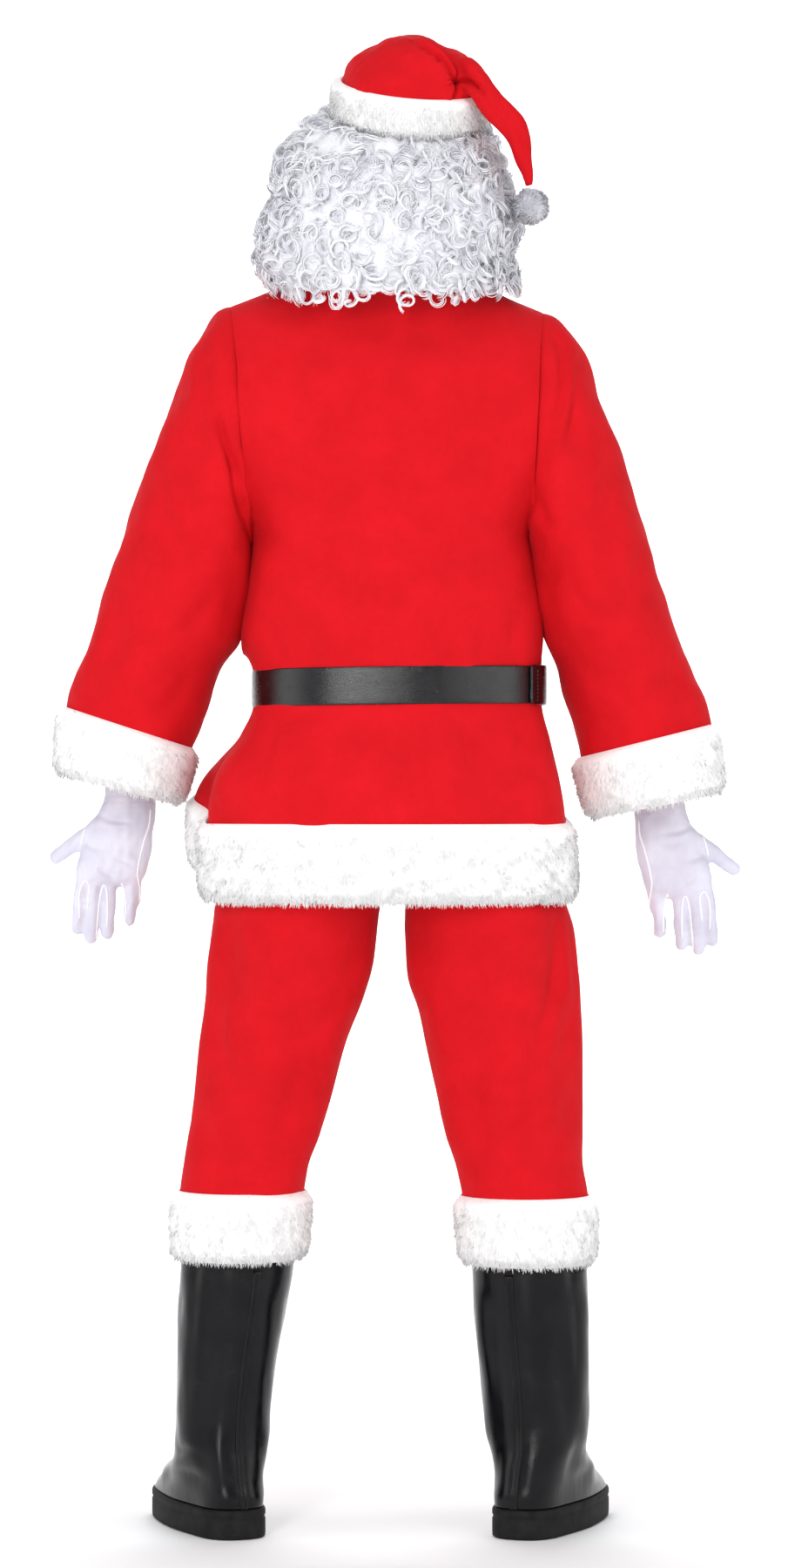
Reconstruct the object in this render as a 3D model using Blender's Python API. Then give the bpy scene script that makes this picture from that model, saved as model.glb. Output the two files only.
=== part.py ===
"""Santa suit, worn: jacket, trousers, hat, wig, belt, gloves and boot covers, all hollow.

Lengths are millimetres here and become metres in the meshes. Heights are measured from the
floor under the soles; the part's origin is on the wearer's shoulders, ORIGIN_HEIGHT up.
The wearer faces -Y, and +X is the wearer's left. Every piece of cloth is a wall of its own:
an outer surface worked out from the tables below, and an inner one a cloth's thickness in.
"""

import math

import bmesh
import bpy
import numpy as np
from mathutils import Vector
from mathutils.bvhtree import BVHTree

MM = 0.001
ORIGIN_HEIGHT = 1530.0
SEAM = 0.3
CLOTH = 2.0
SATIN = 1.2
VINYL = 1.8
LEATHER = 3.0
FUR_PILE = 13.0

BACK_COLUMNS = 16
ARMHOLE_ROWS = 10
LEG_COLUMNS = 8
SQUARENESS = 2.3
NORMAL_SMOOTHING = 2


class Table:
    """Rows of named columns, joined by smooth curves that never overshoot their rows."""

    def __init__(self, names, *rows):
        self.names = names.split()
        self.rows = np.array(sorted(rows), float)

    def at(self, place):
        keys = self.rows[:, 0]
        step = np.diff(keys)
        index = int(np.clip(np.searchsorted(keys, place) - 1, 0, len(keys) - 2))
        t = float(np.clip((place - keys[index]) / step[index], 0, 1))
        values = {}
        for name, column in zip(self.names[1:], self.rows[:, 1:].T):
            slope = np.diff(column) / step
            tangent = np.concatenate([slope[:1], np.zeros(len(slope) - 1), slope[-1:]])
            same = slope[:-1] * slope[1:] > 0
            total = np.where(same, slope[:-1] + slope[1:], 1)
            tangent[1:-1] = np.where(same, 2 * slope[:-1] * slope[1:] / total, 0)
            a, b = column[index], column[index + 1]
            ta, tb = tangent[index] * step[index], tangent[index + 1] * step[index]
            values[name] = (
                a * (1 + 2 * t) * (1 - t) ** 2
                + ta * t * (1 - t) ** 2
                + b * t * t * (3 - 2 * t)
                + tb * t * t * (t - 1)
            )
        return values


# The jacket's body below the armholes: how far each side is from the middle.
TORSO = Table(
    "height left right back front",
    (1219, 171, 169, 128, 130),
    (1168, 178, 178, 130, 135),
    (1104, 186, 187, 132, 140),
    (1082, 186, 185, 131, 140),
    (1068, 169, 184, 122, 130),
    (1010, 169, 184, 122, 130),
    (998, 177, 187, 128, 136),
    (985, 184, 192, 133, 140),
    (963, 195, 197, 139, 144),
    (942, 212, 202, 144, 148),
    (920, 222, 207, 148, 152),
    (878, 229, 213, 152, 156),
    (776, 227, 219, 158, 162),
)
UNDERARM_HEIGHT = 1219
SHOULDER_TIP = {"left": (197, 1507), "right": (185, 1499)}
NECK_POINT_HEIGHT = 1549
NECK_HEIGHT = {"back": 1527, "front": 1468}
ARMHOLE_DEPTH = 95
# Depth of the middle of the back and of the front, from the underarm (0) to the neck (1).
UPPER_BODY = Table(
    "rise back front",
    (0.0, 128, 130),
    (0.35, 129, 133),
    (0.65, 122, 124),
    (0.85, 102, 108),
    (1.0, 66, 84),
)
# Rows of the jacket's body. The belt lies on the straight stretch from 1068 to 1010.
BODY_HEIGHTS = (1219, 1183, 1140, 1100, 1082, 1068, 1010, 996, 972, 943, 910, 872, 826, 779)
HEM_FUR_TOP = 872
HEM_HEIGHT = 779
HEM_RISE = {"left": 70, "right": 24}

# Folds of the jacket's skirt, in degrees from the wearer's left side towards the back.
SKIRT_FOLDS = (
    # angle, half width, depth
    (22, 16, 7),
    (-1, 12, -7),
    (-19, 22, 26),
    (62, 18, -5),
    (96, 15, 5),
    (128, 16, -5),
    (160, 14, 4),
    (205, 18, 9),
    (232, 18, -7),
    (262, 20, 7),
    (292, 18, -6),
)

# Sleeves: the line along the outside, the line along the inside and the depth between.
SLEEVE = {
    "left": Table(
        "along outer_x outer_height inner_x inner_height depth middle",
        (0.00, 197, 1507, 171, 1219, 95, 0),
        (0.05, 213, 1502, 173.4, 1214, 99, 0),
        (0.16, 243, 1455, 175.5, 1200, 104, 0),
        (0.28, 271, 1385, 178, 1178, 104, 0),
        (0.40, 297, 1322, 182, 1150, 101, -2),
        (0.52, 323, 1250, 189, 1100, 97, -6),
        (0.66, 357, 1150, 207, 1062, 92, -12),
        (0.80, 383, 1068, 229, 1010, 87, -18),
        (0.90, 402, 1012, 247, 962, 84, -22),
        (1.00, 408, 938, 266, 902, 80, -24),
    ),
    "right": Table(
        "along outer_x outer_height inner_x inner_height depth middle",
        (0.00, 185, 1499, 169, 1219, 95, 0),
        (0.05, 198, 1494, 171.4, 1214, 99, 0),
        (0.16, 233, 1450, 173.5, 1200, 104, 0),
        (0.28, 262, 1376, 176.5, 1178, 104, 0),
        (0.40, 287, 1306, 181.5, 1150, 101, -2),
        (0.52, 309, 1241, 190, 1100, 97, -6),
        (0.66, 341, 1138, 203, 1058, 92, -12),
        (0.80, 372, 1055, 220, 1000, 87, -18),
        (0.90, 393, 990, 231, 950, 84, -22),
        (1.00, 401, 915, 250, 884, 80, -24),
    ),
}
SLEEVE_FUR_FROM = 0.895
# Folds of a sleeve: place along it, degrees from the inside line towards the back.
SLEEVE_FOLDS = (
    # along, half length, angle, half width, depth
    (0.24, 0.16, 62, 26, 5),
    (0.26, 0.13, 108, 22, -6),
    (0.44, 0.16, 40, 24, -6),
    (0.55, 0.20, 85, 26, 5),
    (0.76, 0.20, 128, 26, -5),
    (0.48, 0.20, 300, 26, -6),
    (0.70, 0.22, 240, 28, 6),
)

# A trouser leg: the middle of its ring, half its width and its depth behind and before.
LEG = {
    "left": Table(
        "height middle width back front",
        (1021, 0, 164, 115, 122),
        (960, 0, 176, 124, 128),
        (880, 22, 178, 134, 130),
        (820, 68, 142, 128, 122),
        (779, 114, 103, 118, 113),
        (749, 118.5, 102, 108, 104),
        (706, 123.6, 102, 100, 97),
        (663, 131, 98, 94, 92),
        (600, 147, 90.5, 87, 86),
        (535, 159, 85, 83, 82),
        (492, 168.5, 81, 81, 80),
        (449, 180, 77, 79, 78),
        (420, 184, 77, 78, 77),
        (338, 188, 73.5, 73, 73),
    ),
    "right": Table(
        "height middle width back front",
        (1021, 0, 176, 115, 122),
        (960, 0, 182, 124, 128),
        (880, 22, 178, 134, 130),
        (820, 68, 142, 128, 122),
        (779, 113.5, 100, 118, 113),
        (740, 120, 105, 109, 105),
        (685, 125, 106, 101, 98),
        (642, 133, 100.5, 96, 94),
        (599, 138, 97, 90, 89),
        (535, 145.5, 90, 85, 84),
        (492, 150.3, 85, 82, 81),
        (449, 157.5, 78.5, 79, 78),
        (412, 164, 78, 78, 77),
        (332, 167, 74, 73, 73),
    ),
}
LEG_TOP = 1021
LEG_HEM = {"left": 341, "right": 335}
LEG_FUR_HEIGHT = 84
LEG_FOLDS = (
    # height, half height, degrees from the outside towards the back, half width, depth
    (690, 170, 38, 22, -7),
    (700, 190, 78, 24, 6),
    (560, 130, 120, 24, -5),
    (620, 170, 300, 26, -6),
    (560, 150, 240, 26, 5),
)

BELT_MIDDLE = 1039
BELT_HEIGHT = 46
BELT_SLOPE = -0.012
WAISTBAND = (1022, 1060)

# The hat's crown, from the band's lower edge to its top, and the tail that hangs from it.
HAT_BAND_TOP = 0.18
HAT_COLUMNS = 18
HAT = Table(
    "along outer_x outer_height inner_x inner_height depth middle tilt",
    (0.00, 66, 1741, -106, 1730, 104, 0, 0.33),
    (0.18, 62, 1784, -112, 1770, 104, 12, 0.30),
    (0.35, 57, 1801, -110, 1790, 99, 14, 0.22),
    (0.55, 39, 1815, -98, 1805, 86, 17, 0.12),
    (0.75, 14, 1827, -76, 1818, 62, 20, 0.05),
    (0.90, -8, 1834, -50, 1829, 34, 22, 0.02),
    (1.00, -20, 1838, -34, 1837, 10, 22, 0.0),
)
TAIL_COLUMNS = 12
HOLLOW_SHARE_BELOW = 0.3
TAIL = Table(
    "along x y height radius",
    (0.00, -60, 28, 1785, 29),
    (0.20, -87, 69, 1786, 17),
    (0.42, -114, 95, 1752, 16),
    (0.59, -137.5, 92, 1725, 15.5),
    (0.75, -155, 84, 1697, 14),
    (0.85, -161, 78, 1677, 11.5),
    (0.95, -165, 73, 1656, 7.5),
    (1.00, -166, 72, 1645, 5),
)
POMPOM = {"x": -169, "y": 72, "height": 1621.4, "radius": 23}
CAP = Table(
    "up width depth",
    (0, 83.5, 101.3),
    (30, 81, 98),
    (46, 76, 93),
    (58, 66, 82),
    (68, 50, 66),
    (75, 32, 44),
    (79, 15, 20),
)
HEAD = {"x": -20, "y": 0, "height": 1735.5, "back_tilt": 0.33, "side_tilt": 0.064}

# The curls: how far they reach to each side, in rows from the hat's band down.
WIG = Table(
    "down height tilt left right back front",
    (0.00, 1733, 0.33, 84, 112, 106, 92),
    (0.10, 1712, 0.27, 126, 126, 124, 97),
    (0.25, 1684, 0.17, 146, 136, 138, 98),
    (0.42, 1645, 0.10, 147, 149, 146, 98),
    (0.60, 1603, 0.08, 166, 158, 150, 96),
    (0.78, 1566, 0.10, 168, 150, 152, 90),
    (1.00, 1530, 0.22, 150, 156, 150, 80),
)
WIG_COLUMNS = 26
WIG_ROWS = 9
WIG_ENDS = (-48, 228)
WIG_HAIR = 30
WIG_CLEAR = 2.2

# Boots: the shaft's ring by height, then the foot, in the foot's own direction.
BOOT = {
    "left": Table(
        "height x y width back front",
        (425, 186, 0, 69, 68, 68),
        (338, 189.5, 0, 70, 68, 66),
        (272, 195.5, 0, 67, 63, 62),
        (230, 200, 0, 64, 60, 60),
        (187, 203.5, 0, 61, 57, 60),
        (144, 206, 0, 58.5, 54, 64),
        (112, 206, 2, 57, 52, 76),
        (88, 204, 4, 54, 51, 104),
        (66, 202, 6, 51, 50, 152),
        (48, 200, 8, 50, 49, 196),
        (36, 200, 8, 49, 48, 214),
    ),
    "right": Table(
        "height x y width back front",
        (418, 163, 0, 70, 68, 68),
        (332, 169, 0, 71.5, 68, 66),
        (272, 171, 0, 71, 64, 63),
        (230, 173, 0, 69.5, 61, 61),
        (187, 175.5, 0, 67, 58, 61),
        (144, 177, 0, 64, 55, 65),
        (112, 177, 2, 60, 53, 77),
        (88, 174, 4, 56, 52, 106),
        (66, 171, 6, 53, 51, 156),
        (48, 169, 8, 51, 50, 202),
        (36, 169, 8, 50, 49, 220),
    ),
}
TOE_OUT = math.radians(22.5)
HEEL_SHARE = 0.78
BALL_DISTANCE = 130
SOLE_HEIGHT = 35
SOLE_PROUD = 3

# Gloves, hanging from the sleeves with the palms forward.
GLOVE_PALM = Table(
    "along x height width depth",
    (0.00, 325, 930, 31, 24),
    (0.20, 326, 905, 32, 22),
    (0.45, 333, 872, 38, 19),
    (0.75, 346, 826, 44, 17),
    (1.00, 352, 792, 41, 13),
)
GLOVE_DIGITS = (
    # name, root x, root height, tip x, tip height, root radius, tip radius
    ("index", 384, 810, 393, 731, 9.2, 7.6),
    ("middle", 370, 804, 375.5, 720, 9.6, 8.2),
    ("ring", 350, 804, 354.5, 725, 9.4, 8.0),
    ("little", 324, 812, 327, 742, 9.2, 7.6),
    ("thumb", 364, 868, 427, 823, 12.5, 8.6),
)
GLOVE_SHIFT = {"left": (0, -72.7, 0), "right": (7, -74.5, -14)}

COLOURS = {
    # name: colour, roughness, metallic
    "plush": ((0.80, 0.012, 0.018), 0.9, 0.0),
    "fur": ((0.88, 0.88, 0.86), 0.95, 0.0),
    "leatherette": ((0.018, 0.018, 0.02), 0.42, 0.0),
    "vinyl": ((0.012, 0.012, 0.014), 0.35, 0.0),
    "sole": ((0.02, 0.02, 0.021), 0.8, 0.0),
    "metal": ((0.75, 0.66, 0.42), 0.3, 1.0),
    "satin": ((0.80, 0.79, 0.88), 0.5, 0.0),
    "hair": ((0.80, 0.80, 0.88), 0.55, 0.0),
    "elastic": ((0.62, 0.01, 0.015), 0.85, 0.0),
}


# Geometry helpers


def signed_power(value, exponent):
    return math.copysign(abs(value) ** exponent, value)


def bump(distance, half_width):
    """A soft swell: 1 in its middle, 0 from half_width away."""
    if abs(distance) >= half_width:
        return 0.0
    return 0.5 + 0.5 * math.cos(math.pi * distance / half_width)


def ease(share):
    share = min(max(share, 0.0), 1.0)
    return share * share * (3 - 2 * share)


def turn_between(angle, other):
    return (angle - other + 180) % 360 - 180


def moved(ring, distance):
    """A flat closed ring of points, moved out (or in, below 0) in its own plane."""
    ring = np.asarray(ring, float)
    following, previous = np.roll(ring, -1, 0), np.roll(ring, 1, 0)
    plane = np.cross(ring - ring.mean(0), following - ring.mean(0)).sum(0)
    plane /= np.linalg.norm(plane)
    tangent = following - previous
    outward = np.cross(tangent, plane)
    outward /= np.linalg.norm(outward, axis=1)[:, None]
    return ring + outward * np.reshape(distance, (-1, 1))


def moved_grid(grid, distance, around=False):
    """A grid of points, moved along its own normals; outward is away from its middle line."""
    grid = np.asarray(grid, float)
    down = np.gradient(grid, axis=0)
    if around:
        across = np.roll(grid, -1, 1) - np.roll(grid, 1, 1)
        away = grid - grid.mean(1, keepdims=True)
    else:
        across = np.gradient(grid, axis=1)
        away = grid * np.array([1, 1, 0])
    normal = np.cross(down, across)
    normal /= np.linalg.norm(normal, axis=2)[:, :, None]
    for _ in range(NORMAL_SMOOTHING):
        total = 2 * normal
        total[1:] += normal[:-1]
        total[:-1] += normal[1:]
        if around:
            total += np.roll(normal, 1, 1) + np.roll(normal, -1, 1)
        else:
            total[:, 1:] += normal[:, :-1]
            total[:, :-1] += normal[:, 1:]
        normal = total / np.linalg.norm(total, axis=2)[:, :, None]
    if (normal * away).sum() < 0:
        normal = -normal
    return grid + normal * distance


def add_object(name, points, faces, material, smooth=True):
    mesh = bpy.data.meshes.new(name)
    points = np.asarray(points, float) - np.array([0, 0, ORIGIN_HEIGHT])
    mesh.from_pydata((points * MM).tolist(), [], faces)
    shell = bmesh.new()
    shell.from_mesh(mesh)
    bmesh.ops.recalc_face_normals(shell, faces=shell.faces)
    shell.to_mesh(mesh)
    shell.free()
    mesh.materials.append(MATERIALS[material])
    if smooth:
        mesh.shade_smooth()
        mesh.set_sharp_from_angle(angle=math.radians(40))
    thing = bpy.data.objects.new(name, mesh)
    bpy.context.scene.collection.objects.link(thing)
    return thing


def add_wall(name, outer, inner, material, around):
    """A wall between two grids of points; around joins the last column to the first."""
    outer, inner = np.asarray(outer, float), np.asarray(inner, float)
    rows, columns = outer.shape[:2]
    points = np.concatenate([outer.reshape(-1, 3), inner.reshape(-1, 3)])
    inside = rows * columns
    faces = []
    for r in range(rows - 1):
        for c in range(columns if around else columns - 1):
            after = (c + 1) % columns
            quad = (
                r * columns + c,
                r * columns + after,
                (r + 1) * columns + after,
                (r + 1) * columns + c,
            )
            faces.append(quad)
            faces.append(tuple(inside + i for i in reversed(quad)))
    for r in (0, rows - 1):
        for c in range(columns if around else columns - 1):
            a, b = r * columns + c, r * columns + (c + 1) % columns
            faces.append((a, b, inside + b, inside + a))
    if not around:
        for c in (0, columns - 1):
            for r in range(rows - 1):
                a, b = r * columns + c, (r + 1) * columns + c
                faces.append((a, b, inside + b, inside + a))
    return add_object(name, points, faces, material)


def add_loft(name, rings, material, closed_path=False):
    """Rings of points joined one to the next, with flat ends unless the path closes."""
    rings = np.asarray(rings, float)
    count, around = rings.shape[:2]
    faces = []
    for k in range(count if closed_path else count - 1):
        after = (k + 1) % count
        for j in range(around):
            other = (j + 1) % around
            faces.append(
                (
                    k * around + j,
                    k * around + other,
                    after * around + other,
                    after * around + j,
                )
            )
    if not closed_path:
        faces.append(tuple(range(around)))
        faces.append(tuple((count - 1) * around + j for j in range(around)))
    return add_object(name, rings.reshape(-1, 3), faces, material)


# The jacket's body


def hem_rise(angle):
    """How much higher the hem is than at the middle of the back, before any fade."""
    radians = math.radians(angle)
    amount = HEM_RISE["right"] + (HEM_RISE["left"] - HEM_RISE["right"]) * (
        1 + math.cos(radians)
    ) / 2
    return amount * ease(0.35 - math.sin(radians))


def skirt_fold(angle, height):
    fade = ease((998 - height) / 140)
    return fade * sum(
        depth * bump(turn_between(angle, middle), half)
        for middle, half, depth in SKIRT_FOLDS
    )


def body_ring(height, angles):
    """The jacket's outer ring at a height, angles in degrees from the left side backwards."""
    size = TORSO.at(height)
    ring = []
    for angle in angles:
        c, s = math.cos(math.radians(angle)), math.sin(math.radians(angle))
        x = size["left" if c > 0 else "right"] * signed_power(c, 2 / SQUARENESS)
        y = size["back" if s > 0 else "front"] * signed_power(s, 2 / SQUARENESS)
        fold = skirt_fold(angle, height)
        lift = hem_rise(angle) * ease((1000 - height) / 200)
        ring.append((x + fold * c, y + fold * s, height + lift))
    return ring


FULL_TURN = [360 / (2 * BACK_COLUMNS) * i for i in range(2 * BACK_COLUMNS)]
NECK_SPREAD = math.cos(math.radians(67.5)) ** (2 / SQUARENESS)


def armhole_rise(step):
    return (1 - math.cos(math.pi * step / ARMHOLE_ROWS)) / 2


def upper_point(angle, rise, part):
    """A point of the body above the underarms; angle runs 0 to 180 from left to right."""
    c, s = math.cos(math.radians(angle)), math.sin(math.radians(angle))
    side = "left" if c > 0 else "right"
    tip_x, tip_height = SHOULDER_TIP[side]
    under_x = TORSO.at(UNDERARM_HEIGHT)[side]
    spread = abs(c) ** (2 / SQUARENESS)
    arm_x = under_x + (tip_x - under_x) * rise
    arm_y = ARMHOLE_DEPTH * math.sqrt(max(0.0, 1 - (2 * rise - 1) ** 2))
    if spread >= NECK_SPREAD:
        share = (1 - spread) / (1 - NECK_SPREAD)
        top = tip_height + (NECK_POINT_HEIGHT - tip_height) * share
        high = 0.0
    else:
        high = math.sqrt(1 - (spread / NECK_SPREAD) ** 2)
        top = NECK_POINT_HEIGHT - (NECK_POINT_HEIGHT - NECK_HEIGHT[part]) * high
    height = UNDERARM_HEIGHT + (top - UNDERARM_HEIGHT) * rise
    middle = UPPER_BODY.at(rise)[part]
    low = s ** (2 / SQUARENESS)
    share = low + (high - low) * rise**3
    reach = 1 + 3 * math.exp(-rise / 0.15)
    y = middle * share + arm_y * (1 - share) ** reach
    return (math.copysign(arm_x * spread, c), y if part == "back" else -y, height)


def body_panel(name, part, angles):
    """One panel from the shoulder and neck to the hem, between two of its columns."""
    sign = 1 if part == "back" else -1
    grid = [
        [upper_point(angle, armhole_rise(step), part) for angle in angles]
        for step in range(ARMHOLE_ROWS, 0, -1)
    ]
    grid += [body_ring(height, [sign * angle for angle in angles]) for height in BODY_HEIGHTS]
    outer = np.array(grid)
    inner = moved_grid(outer, -CLOTH)
    for surface in (outer, inner):
        surface[:, :, 1] = sign * np.maximum(sign * surface[:, :, 1], 0) + sign * SEAM / 2
    if part == "front":
        side = 1 if angles[0] < 90 else -1
        for surface in (outer, inner):
            surface[:, :, 0] = side * np.maximum(side * surface[:, :, 0], SEAM / 2)
    return add_wall(name, outer, inner, "plush", False)


def jacket_body():
    step = 180 / BACK_COLUMNS
    half = BACK_COLUMNS // 2
    body_panel("jacket_back", "back", [step * i for i in range(BACK_COLUMNS + 1)])
    body_panel("jacket_front_left", "front", [step * i for i in range(half + 1)])
    body_panel("jacket_front_right", "front", [180 - step * i for i in range(half + 1)])


def hem_fur():
    """Fur strips on the hem: their inner faces are the jacket's points, moved out."""
    profile = (
        # height, how far out
        (HEM_FUR_TOP, SEAM),
        (HEM_FUR_TOP, 8.0),
        (860, FUR_PILE - 0.5),
        (826, FUR_PILE + 0.5),
        (792, FUR_PILE - 0.5),
        (777, 7.0),
        (HEM_HEIGHT - 2, SEAM),
        (HEM_HEIGHT, SEAM),
        (826, SEAM),
    )
    rings = [moved(body_ring(height, FULL_TURN), out) for height, out in profile]
    section = np.array(rings).transpose(1, 0, 2)
    half = BACK_COLUMNS // 2
    columns = {
        "hem_fur_back": range(0, BACK_COLUMNS + 1),
        "hem_fur_front_right": range(BACK_COLUMNS, BACK_COLUMNS + half + 1),
        "hem_fur_front_left": range(BACK_COLUMNS + half, 2 * BACK_COLUMNS + 1),
    }
    for name, chosen in columns.items():
        piece = section[[i % (2 * BACK_COLUMNS) for i in chosen]].copy()
        sign = 1 if name == "hem_fur_back" else -1
        piece[:, :, 1] = sign * np.maximum(sign * piece[:, :, 1], 0) + sign * SEAM / 2
        if sign < 0:
            side = 1 if name.endswith("left") else -1
            piece[:, :, 0] = side * np.maximum(side * piece[:, :, 0], SEAM / 2)
        add_loft(name, piece, "fur")


# Sleeves


def sleeve_ring(side, along, extra=0.0):
    """A ring of a sleeve. Its first point is on the inside line, and it runs backwards."""
    size = SLEEVE[side].at(along)
    sign = 1 if side == "left" else -1
    outer = np.array([size["outer_x"], size["outer_height"]])
    inner = np.array([size["inner_x"], size["inner_height"]])
    count = 2 * ARMHOLE_ROWS
    ring, folds = [], []
    for j in range(count):
        angle = 360 * j / count
        x, height = (outer + inner) / 2 - (outer - inner) / 2 * math.cos(math.radians(angle))
        y = size["middle"] + size["depth"] * math.sin(math.radians(angle))
        ring.append((x, y, height))
        folds.append(
            sum(
                depth * bump(along - place, half) * bump(turn_between(angle, middle), width)
                for place, half, middle, width, depth in SLEEVE_FOLDS
            )
        )
    ring = moved(ring, np.array(folds) + extra)
    return ring * np.array([sign, 1, 1])


def sleeve(side):
    sign = 1 if side == "left" else -1
    places = [0.0, 0.05, 0.14, 0.23, 0.33, 0.44, 0.55, 0.67, 0.79, SLEEVE_FUR_FROM, 0.95, 1.0]
    outer = np.array([sleeve_ring(side, place) for place in places])
    inner = np.array([sleeve_ring(side, place, -CLOTH) for place in places])
    rim = outer[0]
    armhole = np.cross(rim[5] - rim[0], rim[10] - rim[0])
    armhole *= math.copysign(1, armhole[0] * sign) / np.linalg.norm(armhole)
    outer[0] += armhole * SEAM
    inner[0] += armhole * SEAM
    add_wall(f"jacket_sleeve_{side}", outer, inner, "plush", True)
    near = 2 * SEAM
    profile = (
        # along, how far out, share of a step past the cloth's end
        (SLEEVE_FUR_FROM, near, 0),
        (SLEEVE_FUR_FROM, 9, 0),
        (0.91, FUR_PILE, 0),
        (0.95, FUR_PILE + 1, 0),
        (0.99, FUR_PILE, 0),
        (1.0, 8, 0.12),
        (1.0, near, 0.12),
        (1.0, near, 0),
        (0.95, near, 0),
    )
    step = sleeve_ring(side, 1.0) - sleeve_ring(side, 0.95)
    rings = [sleeve_ring(side, along, out) + step * past for along, out, past in profile]
    add_loft(f"sleeve_fur_{side}", np.array(rings).transpose(1, 0, 2), "fur", True)


# Belt


def belt_ring(out, rim):
    """The belt's edge above (rim 1) or below (rim -1) its middle, on the cinched stretch."""
    ring = moved(body_ring(BELT_MIDDLE, FULL_TURN), out)
    ring[:, 2] = BELT_MIDDLE + rim * BELT_HEIGHT / 2 + ring[:, 0] * BELT_SLOPE
    return ring


def belt():
    near, far = SEAM, SEAM + LEATHER
    rings = [belt_ring(out, rim) for out, rim in ((near, 1), (far, 1), (far, -1), (near, -1))]
    add_loft("belt_strap", np.array(rings).transpose(1, 0, 2), "leatherette", True)
    lap_from, lap_to = 14, 24
    near, far = far + SEAM, far + SEAM + LEATHER
    corners = ((near, 1), (far, 1), (far, -1), (near, -1))
    rings = [belt_ring(out, rim * 1.06) for out, rim in corners]
    section = np.array(rings).transpose(1, 0, 2)
    end = section[lap_from - 1] + (section[lap_from] - section[lap_from - 1]) * 0.45
    lap = np.concatenate([[end], section[lap_from:lap_to + 1]])
    lap[0, :, 1] += 3.5
    lap[0, :, 0] -= 3.0
    lap[1, :, 0] -= 4.0
    lap[2, :, 0] -= 2.0
    add_loft("belt_lap", lap, "leatherette")
    buckle(-(TORSO.at(BELT_MIDDLE)["front"] + far + SEAM))


def buckle(face):
    """A plain rectangular frame round the lap, with its prong across it."""
    outer_half, inner_half = (34, 33), (24, 25)
    thick, corner = 4.0, 5.0
    rings = []
    faces = ((outer_half, 0), (outer_half, thick), (inner_half, thick), (inner_half, 0))
    for half, depth in faces:
        ring = []
        for cx, cz, start in ((1, 1, 0), (-1, 1, 90), (-1, -1, 180), (1, -1, 270)):
            for turn in (0, 45, 90):
                a = math.radians(start + turn)
                ring.append(
                    (
                        cx * (half[0] - corner) + corner * math.cos(a),
                        face - depth,
                        BELT_MIDDLE + cz * (half[1] - corner) + corner * math.sin(a),
                    )
                )
        rings.append(ring)
    add_loft("belt_buckle", np.array(rings).transpose(1, 0, 2), "metal", True)
    reach = inner_half[0] - SEAM
    bar = [
        [(x, face - d, BELT_MIDDLE + z) for d, z in ((0, -2.5), (3.5, -2.5), (3.5, 2.5), (0, 2.5))]
        for x in (-reach, 0, reach)
    ]
    add_loft("belt_prong", bar, "metal")


# Trousers


def leg_fold(angle, height):
    return sum(
        depth * bump(height - middle, half) * bump(turn_between(angle, place), width)
        for middle, half, place, width, depth in LEG_FOLDS
    )


def leg_row(side, height, sign):
    """Half a leg's ring, from the outside to the inseam or the middle of the seat."""
    size = LEG[side].at(height)
    middle, width = size["middle"], size["width"]
    inner = max(middle - width, SEAM / 2)
    end = math.degrees(math.acos(max(-1.0, min(1.0, (inner - middle) / width))))
    depth = size["back" if sign > 0 else "front"]
    row = []
    for i in range(LEG_COLUMNS + 1):
        angle = end * i / LEG_COLUMNS
        c, s = math.cos(math.radians(angle)), math.sin(math.radians(angle))
        fold = leg_fold(sign * angle, height)
        row.append((middle + (width + fold) * c, sign * (depth + fold) * s, height))
    return row


def leg_heights(side):
    fur_top = LEG_HEM[side] + LEG_FUR_HEIGHT - 3
    steps = [LEG_TOP, 970, 910, 855, 812, 790, 762, 722, 670, 615, 555, 490, fur_top]
    return steps + [LEG_HEM[side] + 40, LEG_HEM[side]]


def leg_panels(side):
    mirror = np.array([1 if side == "left" else -1, 1, 1])
    for part, sign in (("back", 1), ("front", -1)):
        outer = np.array([leg_row(side, height, sign) for height in leg_heights(side)])
        inner = moved_grid(outer, -CLOTH)
        for surface in (outer, inner):
            surface[:, :, 1] = sign * np.maximum(sign * surface[:, :, 1], 0) + sign * SEAM / 2
            surface[:, :, 0] = np.maximum(surface[:, :, 0], SEAM / 2)
        add_wall(f"trousers_{part}_{side}", outer * mirror, inner * mirror, "plush", False)


def leg_ring(side, height, out):
    """A whole ring of a leg below the crotch, moved out or in."""
    back = leg_row(side, height, 1)
    front = leg_row(side, height, -1)
    ring = moved(back + front[-2:0:-1], out)
    return ring * np.array([1 if side == "left" else -1, 1, 1])


def leg_fur(side):
    low = LEG_HEM[side]
    top = low + LEG_FUR_HEIGHT - 3
    profile = (
        (top, SEAM),
        (top, 8),
        (top - 10, FUR_PILE),
        (low + 40, FUR_PILE + 1.5),
        (low + 9, FUR_PILE),
        (low - 3, 8),
        (low - 3, SEAM),
        (low, SEAM),
        (low + 40, SEAM),
    )
    rings = [leg_ring(side, height, out) for height, out in profile]
    add_loft(f"trouser_fur_{side}", np.array(rings).transpose(1, 0, 2), "fur", True)


def waistband():
    """The elastic waistband: the jacket's points under the belt, moved in."""
    low, top = WAISTBAND
    near = CLOTH + SEAM
    rings = []
    for height, inward in ((top, near), (top, near + 3), (low, near + 3), (low, near)):
        ring = moved(body_ring(BELT_MIDDLE, FULL_TURN), -inward)
        ring[:, 2] = height
        rings.append(ring)
    add_loft("trousers_waistband", np.array(rings).transpose(1, 0, 2), "elastic", True)


# Hat and wig


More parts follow.
